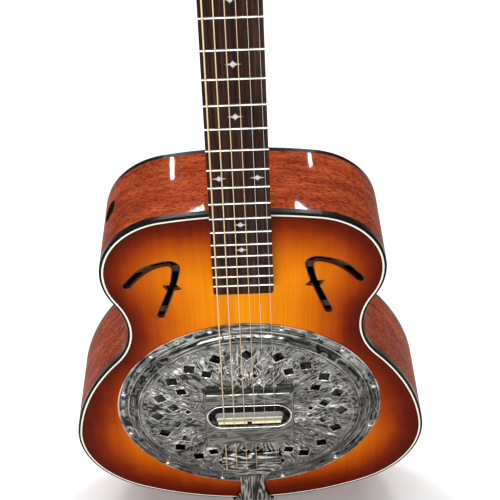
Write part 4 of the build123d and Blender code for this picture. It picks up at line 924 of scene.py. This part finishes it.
def area_light(name, place, target, width, depth, power, colour=(1, 1, 1), lean=0.0):
    """A soft rectangular light that faces its target, turned by lean degrees about its own axis."""
    data = bpy.data.lights.new(name, "AREA")
    data.shape = "RECTANGLE"
    data.size = width
    data.size_y = depth
    data.energy = power
    data.color = colour
    lamp = bpy.data.objects.new(name, data)
    lamp.location = place
    facing = (Vector(target) - Vector(place)).to_track_quat("-Z", "Y")
    lamp.rotation_euler = (facing @ Quaternion((0, 0, 1), math.radians(lean))).to_euler()
    bpy.context.scene.collection.objects.link(lamp)


floor()
world = bpy.data.worlds.new("studio")
world.use_nodes = True
backdrop = world.node_tree.nodes["Background"]
backdrop.inputs["Color"].default_value = (0.95, 0.97, 1.0, 1.0)
backdrop.inputs["Strength"].default_value = 0.28
bpy.context.scene.world = world

BODY_MIDDLE = (0.0, 0.0, -0.60)
FLOOR_BEHIND = (0.0, 0.75, -0.83)
GLINT_DISTANCE = 0.95
area_light("overhead", (0.0, 1.1, 1.5), FLOOR_BEHIND, 2.8, 1.6, 58.0)
area_light("front", (-0.30, -1.7, -0.25), BODY_MIDDLE, 1.8, 0.5, 24.0, (1.0, 0.98, 0.95))
SHOULDER_GLINTS = (     # place across, height, width, length, lean and power of each small lamp
    ("left_streak", -0.342, 0.308, 0.014, 0.055, -20.0, 1.3),
    ("right_streak", 0.326, 0.306, 0.009, 0.030, 34.0, 0.5),
    ("left_patch", -0.372, 0.472, 0.320, 0.013, -11.0, 4.0),
    ("right_patch", 0.364, 0.462, 0.160, 0.020, 7.0, 3.6),
)
for name, across, up, width, length, lean, power in SHOULDER_GLINTS:
    shoulder = (across * 0.17, 0.05, -0.37)
    area_light(name, (across, GLINT_DISTANCE, up), shoulder, width, length, power, lean=lean)

CAMERA_PLACE = (0.01143, -0.61997, 0.20480)
CAMERA_TURN = (45.297, 1.595, -1.208)
CAMERA_LENS = 69.34
camera_data = bpy.data.cameras.new("photo_camera")
camera_data.sensor_width = 36.0
camera_data.lens = CAMERA_LENS
camera = bpy.data.objects.new("photo_camera", camera_data)
camera.location = CAMERA_PLACE
camera.rotation_euler = [math.radians(angle) for angle in CAMERA_TURN]
bpy.context.scene.collection.objects.link(camera)
bpy.context.scene.camera = camera
bpy.context.scene.view_settings.view_transform = "Standard"
